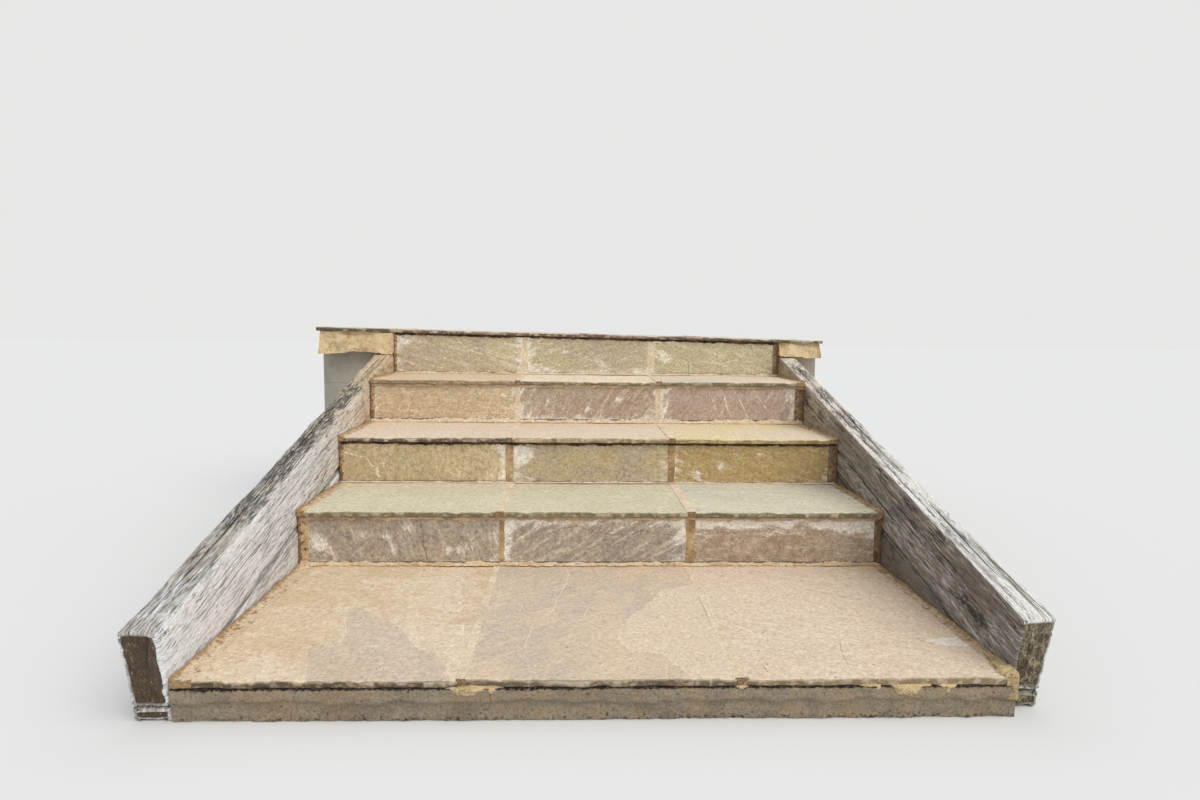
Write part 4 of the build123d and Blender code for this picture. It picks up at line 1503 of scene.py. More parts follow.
        ring = self.rings_at(outwards, down) + 0.004 * bow
        grain = rows_of(along + 0.3 * warp, outwards + self.grain_shift + warp, down + 0.7 * warp)
        return depth + cut, {"grain": grain, "check": check, "knot": knot, "blotch_and_shade": blotch_and_shade,
                             "weather": weather, "ring": ring}

    def opened_splits(self, along: Array, across: dict[Face, Array], weights: Array) -> tuple[Array, Array]:
        """The seasoning checks, listed and at random.

        Each is a line that wanders with noise, and its cut falls off as exp(-(distance / width)^2).

        Args:
            along: Distance along the sleeper.
            across: Distance across each face.
            weights: How much of each face a point has.

        Returns:
            Signed distance to the nearest check, 1 near it, and its width, for the colour. Depth of the cuts.
        """
        random = np.random.default_rng(self.seed)
        fine = [Split(Face(int(random.integers(0, 4))), random.uniform(0.05, 2.2),
                      random.uniform(0.012, 0.078), random.uniform(0.12, 0.6), random.uniform(0.0012, 0.0026),
                      0.0012)
                for _ in range(self.hair_splits)]
        fine += [Split(face, random.uniform(0.05, 2.2), random.uniform(0.08, 0.19), random.uniform(0.12, 0.7),
                       random.uniform(0.0012, 0.0026), 0.0012)
                 for _ in range(self.hair_splits // 3) for face in (Face.INNER, Face.OUTER)]
        check = rows_of(np.full(along.shape, FAR_FROM_LINE), 0.0, 0.001)
        cut = np.zeros(along.shape)
        for number, split in enumerate((*self.splits, *fine)):
            line = rows_of(along, 0.23 * number, 0.0)
            middle = split.across + split.wander * fractal(line, (0.22, 1.0, 1.0), self.seed + 30, 3)
            signed = across[split.face] - middle
            share = np.clip(1 - np.abs(along - split.along) / (split.length / 2), 0.0, 1.0)
            held = weights[:, split.face.value] > 0.5
            width = split.width * np.sqrt(share)
            near = smooth(share, 0.0, 0.06) * held * smooth(-np.abs(signed), -0.014, -0.010)
            closer = held & (share > 0) & (np.abs(signed) < np.abs(check[..., 0]))
            check = np.where(closer[..., None], rows_of(signed, near, 0.75 * width + 0.0002), check)
            cut += held * split.depth * np.sqrt(share) * np.exp(-(signed / (0.7 * split.width)) ** 2)
        return check, np.minimum(cut, 0.012)

    def closed(self, along: Array, out: Array, drop: Array, values: dict[str, Array], base: Array) -> Shell:
        """The long faces closed by end grain: rings that shrink to the middle of each end.

        Args:
            along: Distance along, station by station.
            out: Distance outwards.
            drop: Distance down.
            values: Values at the points of the long faces.
            base: Where the inner top corner starts, in the part's frame.

        Returns:
            The closed shell, in place.
        """
        long_rings = rows_of(along, out, drop)
        count = self.end_rings
        shares = np.linspace(1, 0, count + 2)[1:-1, None, None]
        ends = []
        for station, sunk in ((0, 1.0), (-1, -0.4)):
            centre = long_rings[station].mean(axis=0)
            rings = centre + (long_rings[station] - centre) * shares
            sawn = fractal(rings * (0.0, 1.0, 1.0), (1.0, 0.05, 0.009), self.seed + 40, 4)
            rings[..., 0] += sunk * (0.0016 * (1 + sawn) + self.end_split(rings))
            ends.append(rings)
        rings = np.concatenate([ends[0][::-1], long_rings, ends[1]])
        values = {name: np.concatenate([np.repeat(value[:1], count, axis=0), value,
                                        np.repeat(value[-1:], count, axis=0)])
                  for name, value in values.items()}
        on_end = np.ones(rings.shape[:2], dtype=bool)
        on_end[count:-count] = False
        values["check"][on_end] = values["check"][on_end] * (0.0, 0.0, 1.0) + (FAR_FROM_LINE, 0.0, 0.0)
        values["grain"][on_end] = rings[on_end] + (0.0, self.grain_shift, 0.0)
        values["ring"][on_end] = self.rings_at(rings[..., 1], rings[..., 2])[on_end]
        values["end"] = on_end.astype(float)
        cos, sin = math.cos(self.lean), math.sin(self.lean)
        along, out, drop = np.moveaxis(rings, -1, 0)
        shell = tube(base + rows_of(self.side * out, along * cos + drop * sin, along * sin - drop * cos))
        shell.values = {name: value.reshape(-1, *value.shape[2:]) for name, value in values.items()}
        return shell

    def end_split(self, rings: Array) -> Array:
        """Depth of the split that opens in an end: a ray from near its middle, exp(-(distance / width)^2).

        Args:
            rings: Places on the end: along, outwards and down.

        Returns:
            Depths of 0 or more.
        """
        outwards, down = rings[..., 1] - 0.45 * self.thickness, rings[..., 2] - 0.55 * self.depth
        turn = np.arctan2(down, outwards) - self.split_angle
        radius = np.hypot(down, outwards)
        ahead = np.cos(turn) > 0
        return ahead * 0.004 * np.exp(-(radius * np.sin(turn) / 0.002) ** 2) * smooth(radius, 0.0, 0.02)


@dataclass
class TimberWalls:
    """The two raking walls, each of an upper and a lower sleeper."""

    left_upper: OakFinish = OakFinish(
        Tone.SILVER, Tone.GREY_OAK, Tone.BLUE_BLACK, 0.35, (0.34, 0.5, 0.4, 0.92), fleck_share=0.8,
        tan_share=1.0,
        blotch_and_shade=(Knot(Face.TOP, 0.34, 0.07, 0.02), *(Knot(Face.TOP, along, 0.054, 0.062)
                                                  for along in (0.62, 0.84, 1.06, 1.28, 1.48, 1.64))))
    left_lower: OakFinish = OakFinish(
        Tone.SILVER, Tone.GREY_OAK, Tone.UMBER_OAK, 0.4, (0.4, 0.4, 0.4, 0.72), fleck_share=0.7)
    right_upper: OakFinish = OakFinish(
        Tone.PALE_OAK, Tone.UMBER_OAK, Tone.BLUE_BLACK, 0.5, (0.84, 0.5, 0.4, 0.27), Tone.END_OLIVE, 0.8, 0.5,
        (Knot(Face.TOP, 1.30, 0.035, 0.05), Knot(Face.TOP, 1.62, 0.05, 0.045),
         Knot(Face.TOP, 1.95, 0.04, 0.055), Knot(Face.INNER, 0.20, 0.115, 0.032),
         # These three dark patches just below the top arris of the inner face are painted shade
         Knot(Face.INNER, 0.42, 0.03, 0.026),
         Knot(Face.INNER, 0.62, 0.025, 0.026), Knot(Face.INNER, 0.84, 0.03, 0.026),
         Knot(Face.INNER, 1.75, 0.06, 0.05)))
    right_lower: OakFinish = OakFinish(
        Tone.WARM_SILVER, Tone.UMBER_OAK, Tone.BLUE_BLACK, 0.5, (0.4, 0.4, 0.4, 0.0), Tone.END_OLIVE)

    def build(self) -> None:
        """Makes the four sleepers."""
        group = oak_group()
        outer_splits = tuple(split for split in SHARED_SPLITS if split.face is Face.OUTER)
        Sleeper("left_upper_sleeper", -1, self.left_upper, 71, (*SHARED_SPLITS, BED_SEAM),
                (Knot(Face.TOP, 0.50, 0.05, 0.014),), wane=0.006, wane_reach=0.016).build(group)
        Sleeper("right_upper_sleeper", 1, self.right_upper, 72, (*SHARED_SPLITS, *RIGHT_TOP_SPLITS, BED_SEAM),
                (Knot(Face.INNER, 0.20, 0.115, 0.020), Knot(Face.INNER, 1.5, 0.06, 0.013)),
                wane=0.0022).build(group)
        for name, side, finish, seed in (("left", -1, self.left_lower, 73),
                                         ("right", 1, self.right_lower, 74)):
            Sleeper(f"{name}_lower_sleeper", side, finish, seed, (*outer_splits, HEAD_SEAM),
                    along_step=0.02, round_step=0.0055, hair_splits=12).build(group)


# Mortar


@dataclass(frozen=True)
class Mortar:
    """The finish of a mortar: its sand, its lime, its stain, and how much of it is stained."""

    sand: Tone
    lime: Tone
    stain: Tone
    stain_share: float


MORTARS = {
    "pale_mortar": Mortar(Tone.POINTING, Tone.BRIGHT_POINTING, Tone.DARK_JOINT, 0.14),
    "sandy_mortar": Mortar(Tone.SAND, Tone.PALE_SAND, Tone.BAND_BROWN, 0.4),
    "corner_mortar": Mortar(Tone.WARM_BUFF, Tone.POINTING, Tone.BAND_BROWN, 0.25),
    "tan_mortar": Mortar(Tone.BAND_BROWN, Tone.JOINT_TAN, Tone.DARK_JOINT, 0.5),
    "upright_mortar": Mortar(Tone.BAND_STONE, Tone.BAND_PALE, Tone.SOIL, 0.6),
    "ochre_mortar": Mortar(Tone.JOINT_TAN, Tone.SAND, Tone.SOIL, 0.35),
    # Concrete bed: soil stains, and near black for the painted shadow under the landing's slab
    "soil_and_shadow_concrete": Mortar(Tone.BED_BROWN, Tone.BED_GREY, Tone.SHADOW_AND_SOIL, 0.2),
    "dusty_mortar": Mortar(Tone.DUST, Tone.WARM_BUFF, Tone.SOIL, 0.5),
    # Near black, for the thin beads that paint the shadow in the gap under two nosings
    "shadowed_mortar": Mortar(Tone.DARK_SOIL, Tone.SOIL, Tone.SHADOW_AND_SOIL, 0.9),
    "bed_mortar": Mortar(Tone.YELLOW_SAND, Tone.JOINT_TAN, Tone.SOIL, 0.6),
    "haunch_mortar": Mortar(Tone.TAN, Tone.YELLOW_SAND, Tone.BAND_BROWN, 0.8),
}


def rough_plate(width: float, length: float, place: Place, seed: int, level: float = -0.0014,
                rough: float = 0.0009, depth: float = 0.009, steps: tuple[float, float] = (0.004, 0.005),
                rise: Spread | None = None, tint: Spread | None = None) -> Shell:
    """A strip of struck mortar with a sandy face and ragged sides.

    Args:
        width: Width across.
        length: Length along.
        place: Where a point (across, along, lift) lies.
        seed: Which noise.
        level: Height of the face over the faces of the stone beside it.
        rough: Height of its grains and lumps.
        depth: How far down its sides go.
        steps: Size of the grid's faces.
        rise: Added height at (across, along), such as a fillet against a wall.
        tint: How stained the mortar is, and how dark with painted shade, at (across, along), 0 to 1.

    Returns:
        The strip, in place.
    """
    rows, columns = max(3, round(width / steps[0])), max(3, round(length / steps[1]))
    across, along = np.meshgrid(np.linspace(0, width, rows + 1), np.linspace(0, length, columns + 1),
                                indexing="ij")
    spots = rows_of(across + 2.3 * seed, along, 0.7 * seed)
    lumps = fractal(spots, 0.016, seed, 3)
    lift = level + rough * (0.6 * lumps + 0.8 * fractal(spots, 0.006, seed + 3, 3))
    if rise is not None:
        lift = lift + rise(across, along)
    stain_and_shade = np.zeros(lift.shape) if tint is None else tint(across, along)
    side = np.sign(across - width / 2) * smooth(np.abs(across - width / 2), 0.3 * width, 0.5 * width)
    across = across + 0.0016 * side * fractal(spots, 0.012, seed + 5, 3)
    along = along + 0.0020 * np.exp(-along / 0.006) * (1 + fractal(spots, 0.009, seed + 6, 3))
    border_lift = lift.reshape(-1)[grid_border(*across.shape)]
    depths = np.array([0.5 * (depth - border_lift), np.full(len(border_lift), depth)])
    insets = np.tile(np.array([[0.0005], [0.001]]), (1, len(border_lift)))
    return turned_out(Plate(across, along, lift, depths, insets, place).shell({"stain_and_shade": stain_and_shade}))


def soil_and_shade_at_front(across: Array, along: Array) -> Array:
    """How dark a joint is: soil and painted shade, as of a set-back joint, at its front end, and clean from a
    ragged line some 10 mm behind it.
    """
    ragged = 1 + 0.5 * fractal(rows_of(across, along, 0.0), 0.012, 233, 3)
    return smooth(-along / np.clip(ragged, 0.3, None), -0.013, -0.002)


def beside_timber(side: int, width: float, low: float, reach: float) -> dict[str, Spread]:
    """The rise and the tint of a band that is drawn up, and darker, beside the timber: brown stain with painted
    shade in the corner.

    Both fall off as exp(-(gap / reach)^2) with the gap to the timber.

    Args:
        side: -1 where the timber is at the left of the band, 1 where it is at the right.
        width: Width of the band.
        low: How stained the band is far from the timber.
        reach: How far the stain and the painted shade reach.

    Returns:
        The two functions of (across, along), by the name of their argument.
    """
    def gap(across: Array) -> Array:
        return across if side < 0 else width - across

    def rise(across: Array, along: Array) -> Array:
        ragged = 1 + 0.6 * fractal(rows_of(along, 0.0, width), 0.04, 190, 3)
        return 0.007 * ragged * np.exp(-(gap(across) / 0.005) ** 2)

    def tint(across: Array, along: Array) -> Array:
        ragged = 1 + 0.5 * fractal(rows_of(along, across, width), (0.05, 0.02, 1.0), 191, 4)
        spots = 0.9 * smooth(fractal(rows_of(across, along, width), 0.010, 192, 3), 0.15, 0.6)
        # Stain and painted shade, darkest against the timber, with dark spots
        beside = low + (1 - low) * np.exp(-(gap(across) / (reach * ragged)) ** 2)
        return np.clip(np.maximum(beside + spots, soil_and_shade_at_front(across, along)), 0.0, 1.0)
    return {"rise": rise, "tint": tint}


def bead(stations: Array, corner: Place, reach_out: Array, reach_up: Array, out: Triple, up: Triple,
         seed: int, lumps: float = 0.35) -> Shell:
    """A bead of mortar in a corner: a quarter of an ellipse carried along it, swelling with noise.

    Args:
        stations: Distances along the corner.
        corner: The corner's place at each distance.
        reach_out: How far the bead reaches out along the first face.
        reach_up: How far it reaches up the second face.
        out: Direction of the first reach.
        up: Direction of the second reach.
        seed: Which noise.
        lumps: Share by which the bead swells and shrinks.

    Returns:
        The bead, closed at both ends.
    """
    grid_s, grid_t = np.meshgrid(stations, np.linspace(0, math.pi / 2, 7), indexing="ij")
    swell = 1 + lumps * fractal(rows_of(grid_s, 0.03 * grid_t, 0.9 * seed), 0.022, seed, 3)
    swell = swell + 0.5 * lumps * fractal(rows_of(grid_s, 0.02 * grid_t, 1.9 * seed), 0.007, seed + 2, 2)
    swell = np.clip(swell, 0.15, 1.9)
    start = corner(stations)[:, None, :]
    arc = (start + (reach_out[:, None] * np.cos(grid_t) * swell)[..., None] * np.array(out)
           + (reach_up[:, None] * np.sin(grid_t) * swell)[..., None] * np.array(up))
    buried = start - BEAD_BURIED * np.array(out) - BEAD_BURIED * np.array(up)
    return tube(np.concatenate([arc, buried], axis=1))


@dataclass
class MortarWork:
    """The struck joints, beads, corner bands and haunches, and the rough edge of the landing's bed."""

    overlap: float = 0.0026
    band_overlap: float = 0.002
    joint_depth: float = 0.018
    setback: float = 0.0015
    wall_left: float = field(init=False)
    wall_right: float = field(init=False)
    materials: dict[str, Material] = field(init=False)

    def __post_init__(self) -> None:
        """Finds the inner faces of the timber and makes the mortars."""
        self.wall_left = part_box("left_upper_sleeper")[1].x
        self.wall_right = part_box("right_upper_sleeper")[0].x
        group = mortar_group()
        self.materials = {
            name: dressed_material(name, group, fed_by(mix, "Sand", "Lime", "Stain", "Stain Share"),
                                   ("Stain_And_Shade",), bump=1.0)
            for name, mix in MORTARS.items()}

    def build(self) -> None:
        """Makes the mortar and dresses the beds that stay."""
        redress("landing_mortar", self.materials["soil_and_shadow_concrete"])
        for node in ("riser_mortar", "tread_mortar", "top_mortar"):
            redress(node, self.materials["upright_mortar"])
        self.pointing()
        self.corner_bands()
        self.beads()
        self.piece("landing_bed_edge", [self.bed_edge()], "soil_and_shadow_concrete")
        self.piece("landing_bed_lumps", self.bed_lumps(), "bed_mortar")
        self.piece("dressed_mortar_haunches", [
            self.haunch(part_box("mortar_haunches")[0].x, self.wall_left),
            self.haunch(self.wall_right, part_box("mortar_haunches")[1].x)], "haunch_mortar", "mortar_haunches")

    def piece(self, name: str, shells: Sequence[Shell], mix: str, *nodes: str) -> None:
        """Joins shells to one piece of a mortar."""
        make_piece(name, joined(shells), self.materials[mix], "mortar", *nodes)

    def joints(self, names: Sequence[str]) -> list[tuple[float, float]]:
        """Left and right side of each joint between the slabs of a course, lapped on to the slabs."""
        boxes = [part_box(name) for name in names]
        return [(before[1].x - self.overlap, after[0].x + self.overlap)
                for before, after in zip(boxes[:-1], boxes[1:])]

    def laid_joint(self, sides: Sides, slab: str, run: Sides, seed: int, **shape: object) -> Shell:
        """A joint along a laid course, at the level of a slab and with its falls.

        Args:
            sides: Its left and right side.
            slab: The slab.
            run: Its front and its rear.
            seed: Which noise.
            **shape: Other arguments of the rough plate.

        Returns:
            The joint, in place.
        """
        low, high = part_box(slab)
        fall = LANDING_FALL if slab.startswith("landing") else 0.0
        across_fall = TOP_ROW_FALL if slab.startswith("top") else 0.0

        def place(points: Array) -> Array:
            x, y = sides[0] + points[:, 0], run[0] + points[:, 1]
            top = high.z - fall * (high.y - y) - across_fall * (x - low.x)
            return rows_of(x, y, top + points[:, 2])
        return rough_plate(sides[1] - sides[0], run[1] - run[0], place, seed, **shape)

    def upright_joint(self, sides: Sides, face: float, run: Sides, seed: int, **shape: object) -> Shell:
        """A joint up a rise.

        Args:
            sides: Its left and right side.
            face: Where the face of the rise stands.
            run: Its foot and its head.
            seed: Which noise.
            **shape: Other arguments of the rough plate.

        Returns:
            The joint, in place.
        """
        def place(points: Array) -> Array:
            return rows_of(sides[0] + points[:, 0], face - points[:, 2], run[0] + points[:, 1])
        return rough_plate(sides[1] - sides[0], run[1] - run[0], place, seed, **shape)

    def riser_face(self, step: int) -> float:
        """Where the face of a rise stands."""
        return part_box(f"riser_slab_{step}_left")[0].y

    def laid_run(self, course: str, rise: int) -> Sides:
        """Front and rear of the joints of a laid course that ends at a rise."""
        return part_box(f"{course}_left")[0].y + self.setback, self.riser_face(rise)

    def laid_pointing(self, name: str, course: str, rise: int, seed: int) -> None:
        """The piece of pointing between the three slabs of a laid course that ends at a rise."""
        joints = self.joints([f"{course}_{place}" for place in PLACES])
        self.piece(name, [self.laid_joint(sides, f"{course}_left", self.laid_run(course, rise), seed + number,
                                          depth=self.joint_depth, tint=soil_and_shade_at_front)
                          for number, sides in enumerate(joints)], "pale_mortar")

    def pointing(self) -> None:
        """The joints between the slabs of the landing, the rises, the treads and the top row."""
        self.laid_pointing("landing_pointing", "landing_slab", 1, 100)
        for step in RISES:
            names = [f"riser_slab_{step}_{place}" for place in PLACES]
            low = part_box(names[0])[0]
            shells = [self.upright_joint(sides, low.y, (low.z - 0.003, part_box(name)[1].z + 0.003),
                                         110 + 3 * step + number)
                      for number, (sides, name) in enumerate(zip(self.joints(names), names[1:]))]
            self.piece(f"riser_pointing_{step}", shells, "tan_mortar" if step < 3 else "pale_mortar")
        for step in TREADS:
            self.laid_pointing(f"tread_pointing_{step}", f"tread_slab_{step}", step + 1, 130 + 3 * step)
        names = [f"top_slab_{number}" for number in TOP_FINISHES]
        low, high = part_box(names[0])
        self.piece("top_pointing", [
            self.laid_joint(sides, names[0], (low.y + 0.006, high.y - 0.001), 150 + number,
                            steps=(0.005, 0.008))
            for number, sides in enumerate(self.joints(names))], "pale_mortar")

    def band_sides(self, slab: str, side: int) -> Sides:
        """Left and right side of the band between a slab and the timber at its left, -1, or right, 1."""
        low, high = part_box(slab)
        if side < 0:
            return self.wall_left, low.x + self.band_overlap
        return high.x - self.band_overlap, self.wall_right

    def corner_bands(self) -> None:
        """The wide rough bands between the slabs and the timber."""
        shells = []
        courses = [("landing_slab", 1), *((f"tread_slab_{step}", step + 1) for step in TREADS)]
        for number, (course, rise) in enumerate(courses):
            low, reach = (0.05, 0.009) if number == 0 else (0.1, 0.012)
            for side, place, seed, more in ((-1, "left", 160, 0.0), (1, "right", 170, 0.1)):
                sides = self.band_sides(f"{course}_{place}", side)
                shells.append(self.laid_joint(
                    sides, f"{course}_{place}", self.laid_run(course, rise), seed + number, rough=0.0022,
                    depth=self.joint_depth, **beside_timber(side, sides[1] - sides[0], low + more, reach)))
        self.piece("laid_corner_bands", shells, "corner_mortar")
        for side, place, seed, mix, low, reach in ((-1, "left", 180, "ochre_mortar", 0.05, 0.010),
                                                   (1, "right", 190, "upright_mortar", 0.15, 0.014)):
            shells = []
            for step in RISES:
                slab_low, slab_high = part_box(f"riser_slab_{step}_{place}")
                sides = self.band_sides(f"riser_slab_{step}_{place}", side)
                shells.append(self.upright_joint(
                    sides, slab_low.y, (slab_low.z - 0.004, slab_high.z + 0.004), seed + step, rough=0.0030,
                    **beside_timber(side, sides[1] - sides[0], low, reach)))
            self.piece(f"upright_corner_bands_{place}", shells, mix)

    def beads(self) -> None:
        """The fillet at the foot of each rise, and what shows under each nosing: mortar, or a dark bead that
        paints the shadow in the gap.
        """
        stations = np.arange(self.wall_left, self.wall_right, BEAD_STEP)
        feet, heads = [], []
        for step in RISES:
            face = self.riser_face(step)
            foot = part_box(f"riser_slab_{step}_middle")[0].z
            below = f"tread_slab_{step - 1}_left" if step > 1 else "landing_slab_left"
            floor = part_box(below)[1].z - (LANDING_FALL * SLAB_THICKNESS if step == 1 else 0.0)
            ragged = fractal(rows_of(stations, 0.8, 1.7 * step), 0.05, 197, 3)
            wander = fractal(rows_of(stations, 0.0, 1.3 * step), 0.09, 199, 3)
            feet.append(bead(stations, lambda x, y=face, z=floor: rows_of(x, y, z),
                             (0.008 if step == 1 else 0.005) * (1 + 0.5 * wander),
                             (foot - floor) * (0.85 + 0.3 * ragged), TO_FRONT, UPWARDS, 200 + step,
                             lumps=0.45))
            if step == RISES[-1]:
                low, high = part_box("top_slab_1")
                under = high.z - SLAB_THICKNESS - TOP_ROW_FALL * (stations - low.x)
            else:
                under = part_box(f"tread_slab_{step}_left")[1].z - SLAB_THICKNESS
            drawn_up = fractal(rows_of(stations, 0.4, 2.1 * step), 0.07, 198, 3)
            # At the rises in GAP_RISES the head is a thin dark bead: a painted shadow under the nosing
            reach, height, swing = (0.002, 0.010, 0.001) if step in GAP_RISES else (0.005, 0.011, 0.003)
            heads.append(bead(stations, lambda x, y=face, z=under: rows_of(x, y, z),
                              np.full(len(stations), reach), height + swing * drawn_up, TO_FRONT, DOWNWARDS,
                              210 + step, lumps=0.5))
        self.piece("landing_foot_fillet", feet[:1], "sandy_mortar")
        self.piece("riser_foot_fillets", feet[1:], "pale_mortar")
        self.piece("nosing_beads", heads[::2], "dusty_mortar")
        self.piece("painted_nosing_shadows", heads[1::2], "shadowed_mortar")

    def bed_edge(self) -> Shell:
        """The front of the landing's bed: stained concrete, mortar above it, and a painted shadow under the
        slab.
        """
        low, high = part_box("landing_base")
        proud = low.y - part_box("landing_mortar")[0].y
        bed_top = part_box("landing_slab_left")[0].z

        def place(points: Array) -> Array:
            return rows_of(low.x + points[:, 0], low.y - points[:, 2], low.z + points[:, 1])

        def rise(across: Array, along: Array) -> Array:
            lumps = fractal(rows_of(across, along, 0.0), (0.05, 0.022, 0.05), 220, 4)
            bed = smooth(along + 0.006 * lumps, 0.040, 0.052)
            return 0.004 + 0.003 * lumps * (1 - bed) + bed * (proud - 0.0022 + 0.0012 * (1 + lumps))

        # Painted shadow in a ragged band just under the slab, and soil stain at the foot
        def tint(across: Array, along: Array) -> Array:
            ragged = 1 + 0.5 * fractal(rows_of(across, 0.0, 0.0), 0.07, 219, 3)
            return np.clip(0.1 + 0.8 * smooth(along, bed_top - 0.006 * ragged, bed_top - 0.001)
                           + 0.3 * smooth(-along, -0.02, 0.0), 0.0, 1.0)
        return rough_plate(high.x - low.x, bed_top - low.z - 0.001, place, 221, level=0.0, rough=0.0014,
                           depth=0.012, steps=(0.0055, 0.004), rise=rise, tint=tint)

    def bed_lumps(self) -> list[Shell]:
        """Mortar squeezed out under the landing's edge in uneven lumps, and worked round its right corner."""
        slab_low, slab_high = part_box("landing_slab_right")
        stations = np.arange(self.wall_left + 0.004, self.wall_right - 0.004, BEAD_STEP)
        size = np.zeros(len(stations))
        for middle, half, height in BED_LUMPS:
            size = np.maximum(size, height * smooth(-np.abs(stations - middle), -half, -0.4 * half))
        size = size * np.clip(0.7 + 0.5 * fractal(rows_of(stations, 0.0, 0.0), 0.03, 222, 3), 0.0, 1.0)
        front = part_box("landing_mortar")[0].y + 0.004
        under = bead(stations, lambda x: rows_of(x, front + 0.010 * (size < 0.08), slab_low.z),
                     0.001 + 0.018 * size, 0.001 + 0.019 * size, TO_FRONT, DOWNWARDS, 223, lumps=0.55)
        along = np.arange(slab_low.y + 0.003, slab_low.y + 0.17, BEAD_STEP)
        share = smooth(-(along - slab_low.y), -0.16, -0.02)
        level = slab_high.z - LANDING_FALL * (slab_high.y - slab_low.y)
        corner = bead(along, lambda y: rows_of(self.wall_right, y, level), 0.010 + 0.022 * share,
                      0.003 + 0.009 * share, TO_LEFT, UPWARDS, 224, lumps=0.3)
        end = bead(np.arange(0.0, 0.05, BEAD_STEP),
                   lambda z: rows_of(self.wall_right - 0.001, slab_low.y + 0.002, level - 0.052 + z),
                   np.full(13, 0.022), np.full(13, 0.004), TO_LEFT, TO_FRONT, 225)
        return [under, corner, end]

    def haunch(self, start: float, end: float) -> Shell:
        """A mortar wedge under the top row beyond a wall: its section carried along X, rough in front.

        Args:
            start: Where it starts along X.
            end: Where it ends.

        Returns:
            The closed wedge.
        """
        low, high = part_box("mortar_haunches")
        top_low, top_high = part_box("top_slab_1")
        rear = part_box("left_upper_sleeper")[1]
        floor = rear.z - SLEEPER_SLOPE * (rear.y - low.y)
        stations = np.linspace(start, end, round((end - start) / 0.006) + 1)
        heads = (top_high.z - SLAB_THICKNESS - TOP_ROW_FALL * (stations - top_low.x))[:, None]
        slope = np.linspace(0, 1, 19)
        y = np.concatenate([[low.y], (1 - slope) * low.y + slope * (high.y - 0.046), [high.y, high.y]])
        z = np.concatenate([np.full(heads.shape, floor), (1 - slope) * (floor + 0.012) + slope * heads, heads,
                            np.full(heads.shape, rear.z)], axis=1)
        spots = rows_of(stations[:, None], y, z)
        rough = fractal(spots, 0.045, 230, 4) - 0.3
        worked = np.zeros(len(y))
        worked[1:-3] = 1.0
        y = np.clip(y - 0.012 * rough * worked, low.y, high.y)
        z = z + 0.008 * np.minimum(rough, 0.0) * worked
        ragged = np.clip(fractal(spots[:, 0], 0.07, 231, 4), 0.0, 1.0)
        z[:, :3] += 0.016 * ragged[:, None] * (1.0, 1.0, 0.5)
        return tube(rows_of(stations[:, None], y, z))


# Concrete


@dataclass
class ConcreteWork:
    """The concrete bases. The tall one under the top row has board marks cast into it."""

    board_height: float = 0.15
    step_round: float = 0.05
    step_up: float = 0.010
    seam_depth: float = 0.0018

    def build(self) -> None:
        """Dresses the hidden bases, and makes the tall one anew."""
        group = concrete_group()
        material = dressed_material("board_marked_concrete", group, {
            "Pale": Tone.CONCRETE, "Dark": Tone.DARK_CONCRETE, "Board Height": self.board_height}, ())
        for node in ("landing_base", "step_base_1", "step_base_2", "step_base_3", "sleeper_footings"):
            redress(node, material)
        make_piece("dressed_top_base", self.top_base(), material, "concrete", "top_base")

    def top_base(self) -> Shell:
        """Four upright faces in one grid round the base, with seams between boards, and flat top and foot."""
        low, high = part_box("top_base")
        corners = np.array(((low.x, low.y), (high.x, low.y), (high.x, high.y), (low.x, high.y)))
        outline, outward = [], []
        for start, end in zip(corners, np.roll(corners, -1, axis=0)):
            run = end - start
            length = float(np.hypot(*run))
            share = np.linspace(0, 1, round(length / self.step_round), endpoint=False)[:, None]
            outline.append(start + share * run)
            outward.append(np.tile((run[1] / length, -run[0] / length), (len(share), 1)))
        outline, outward = np.concatenate(outline), np.concatenate(outward)
        heads = high.z - TOP_ROW_FALL * (outline[:, 0] - low.x)
        shares = np.linspace(0, 1, round((high.z - low.z) / self.step_up) + 1)[:, None]
        heights = low.z + shares * (heads - low.z)
        x = np.broadcast_to(outline[:, 0], heights.shape)
        y = np.broadcast_to(outline[:, 1], heights.shape)
        spots = rows_of(x, y, heights)
        board = np.mod(heights / self.board_height, 1.0)
        seam = np.exp(-(np.minimum(board, 1 - board) * self.board_height / 0.006) ** 2)
        step_out = value_noise(np.floor(heights / self.board_height)[..., None] * (1.0, 1.7, 0.3) + 0.5, 9)
        depth = (0.0012 * (1 + np.clip(fractal(spots, 0.35, 240, 4), -1, 1)) + self.seam_depth * seam
                 + 0.0008 * (1 + step_out))
        return tube(rows_of(x - outward[:, 0] * depth, y - outward[:, 1] * depth, heights))


# Camera, light and floor


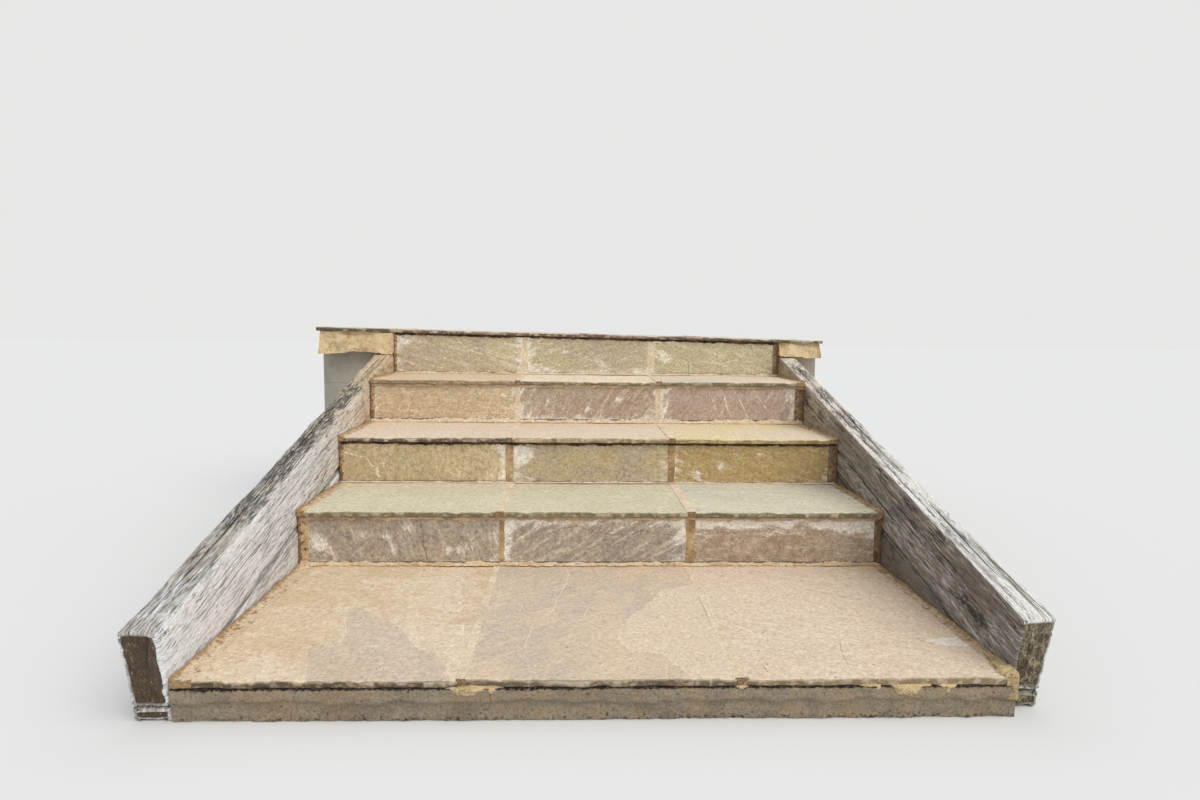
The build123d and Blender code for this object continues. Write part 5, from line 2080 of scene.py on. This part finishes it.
@dataclass
class Studio:
    """The camera, the soft lights and the pale floor."""

    camera_place: Triple = (0.0098, -3.0022, 0.8812)
    yaw: float = 1.9619
    pitch: float = 5.2961
    roll: float = 0.6019
    focal_pixels: float = 767.12
    picture_width: float = 1200.0
    sensor_width: float = 36.0
    sun_direction: Triple = (0.42, -0.5, 0.76)
    sun_strength: float = 1.8
    sun_angle: float = 60.0
    sun_tone: Triple = (1.0, 0.975, 0.94)
    sky_strength: float = 0.62
    sky_tone: Colour = (0.93, 0.97, 1.0, 1.0)
    floor_tone: Colour = (0.80, 0.80, 0.79, 1.0)
    backdrop_tone: Colour = (0.80, 0.80, 0.795, 1.0)
    floor_reach: float = 40.0

    def build(self) -> None:
        """Sets up the view, the light and the floor."""
        bpy.context.scene.view_settings.view_transform = "Standard"
        self.add_camera()
        self.add_sun()
        self.add_world()
        self.add_floor()

    def add_camera(self) -> None:
        """The camera, turned right by yaw, down by pitch, and then rolled."""
        yaw, pitch, roll = (math.radians(angle) for angle in (self.yaw, self.pitch, self.roll))
        right = Vector((math.cos(yaw), -math.sin(yaw), 0.0))
        forward = Vector((math.sin(yaw), math.cos(yaw), 0.0))
        up = Vector((0.0, 0.0, 1.0))
        ahead = forward * math.cos(pitch) - up * math.sin(pitch)
        over = up * math.cos(pitch) + forward * math.sin(pitch)
        side = right * math.cos(roll) + over * math.sin(roll)
        top = over * math.cos(roll) - right * math.sin(roll)
        turn = Matrix((side, top, -ahead)).transposed().to_4x4()
        data = bpy.data.cameras.new("camera")
        data.sensor_width = self.sensor_width
        data.lens = self.sensor_width * self.focal_pixels / self.picture_width
        camera = bpy.data.objects.new("camera", data)
        camera.matrix_world = Matrix.Translation(self.camera_place) @ turn
        bpy.context.scene.collection.objects.link(camera)
        bpy.context.scene.camera = camera

    def add_sun(self) -> None:
        """A broad, soft sun from the front and right."""
        data = bpy.data.lights.new("soft_sun", "SUN")
        data.energy = self.sun_strength
        data.angle = math.radians(self.sun_angle)
        data.color = self.sun_tone
        sun = bpy.data.objects.new("soft_sun", data)
        sun.rotation_mode = "QUATERNION"
        sun.rotation_quaternion = Vector(self.sun_direction).to_track_quat("Z", "Y")
        bpy.context.scene.collection.objects.link(sun)

    def add_world(self) -> None:
        """An even sky that lights the steps, and shows pale to the camera and in reflections."""
        world = bpy.data.worlds.new("sky")
        world.use_nodes = True
        graph = Graph(world.node_tree)
        seen = graph.node("ShaderNodeLightPath")
        shown = graph.math("MAXIMUM", seen.outputs["Is Camera Ray"], seen.outputs["Is Glossy Ray"])
        shown = graph.math("MAXIMUM", shown, seen.outputs["Is Transmission Ray"])
        light, backdrop = (
            graph.fed_node("ShaderNodeBackground", (("Color", colour), ("Strength", strength)))
            for colour, strength in ((self.sky_tone, self.sky_strength), (self.backdrop_tone, 1.0)))
        mixed = graph.fed_node("ShaderNodeMixShader", enumerate((shown, light, backdrop)))
        graph.feed(graph.node("ShaderNodeOutputWorld").inputs["Surface"], mixed)
        bpy.context.scene.world = world

    def add_floor(self) -> None:
        """A plain pale floor at ground level."""
        reach = self.floor_reach
        mesh = bpy.data.meshes.new("floor")
        mesh.from_pydata([(-reach, -reach, 0), (reach, -reach, 0), (reach, reach, 0), (-reach, reach, 0)], [],
                         [(0, 1, 2, 3)])
        material = bpy.data.materials.new("floor")
        material.use_nodes = True
        graph = Graph(material.node_tree)
        shader = graph.fed_node("ShaderNodeBsdfDiffuse", (("Color", self.floor_tone),))
        graph.feed(graph.node("ShaderNodeOutputMaterial").inputs["Surface"], shader)
        mesh.materials.append(material)
        floor = bpy.data.objects.new("floor", mesh)
        bpy.context.scene.collection.objects.link(floor)


def main() -> None:
    """Builds and dresses the steps."""
    logging.basicConfig(level=logging.INFO, format="%(message)s")
    Studio().build()
    StoneWork().build()
    TimberWalls().build()
    MortarWork().build()
    ConcreteWork().build()


if __name__ == "__main__":
    main()
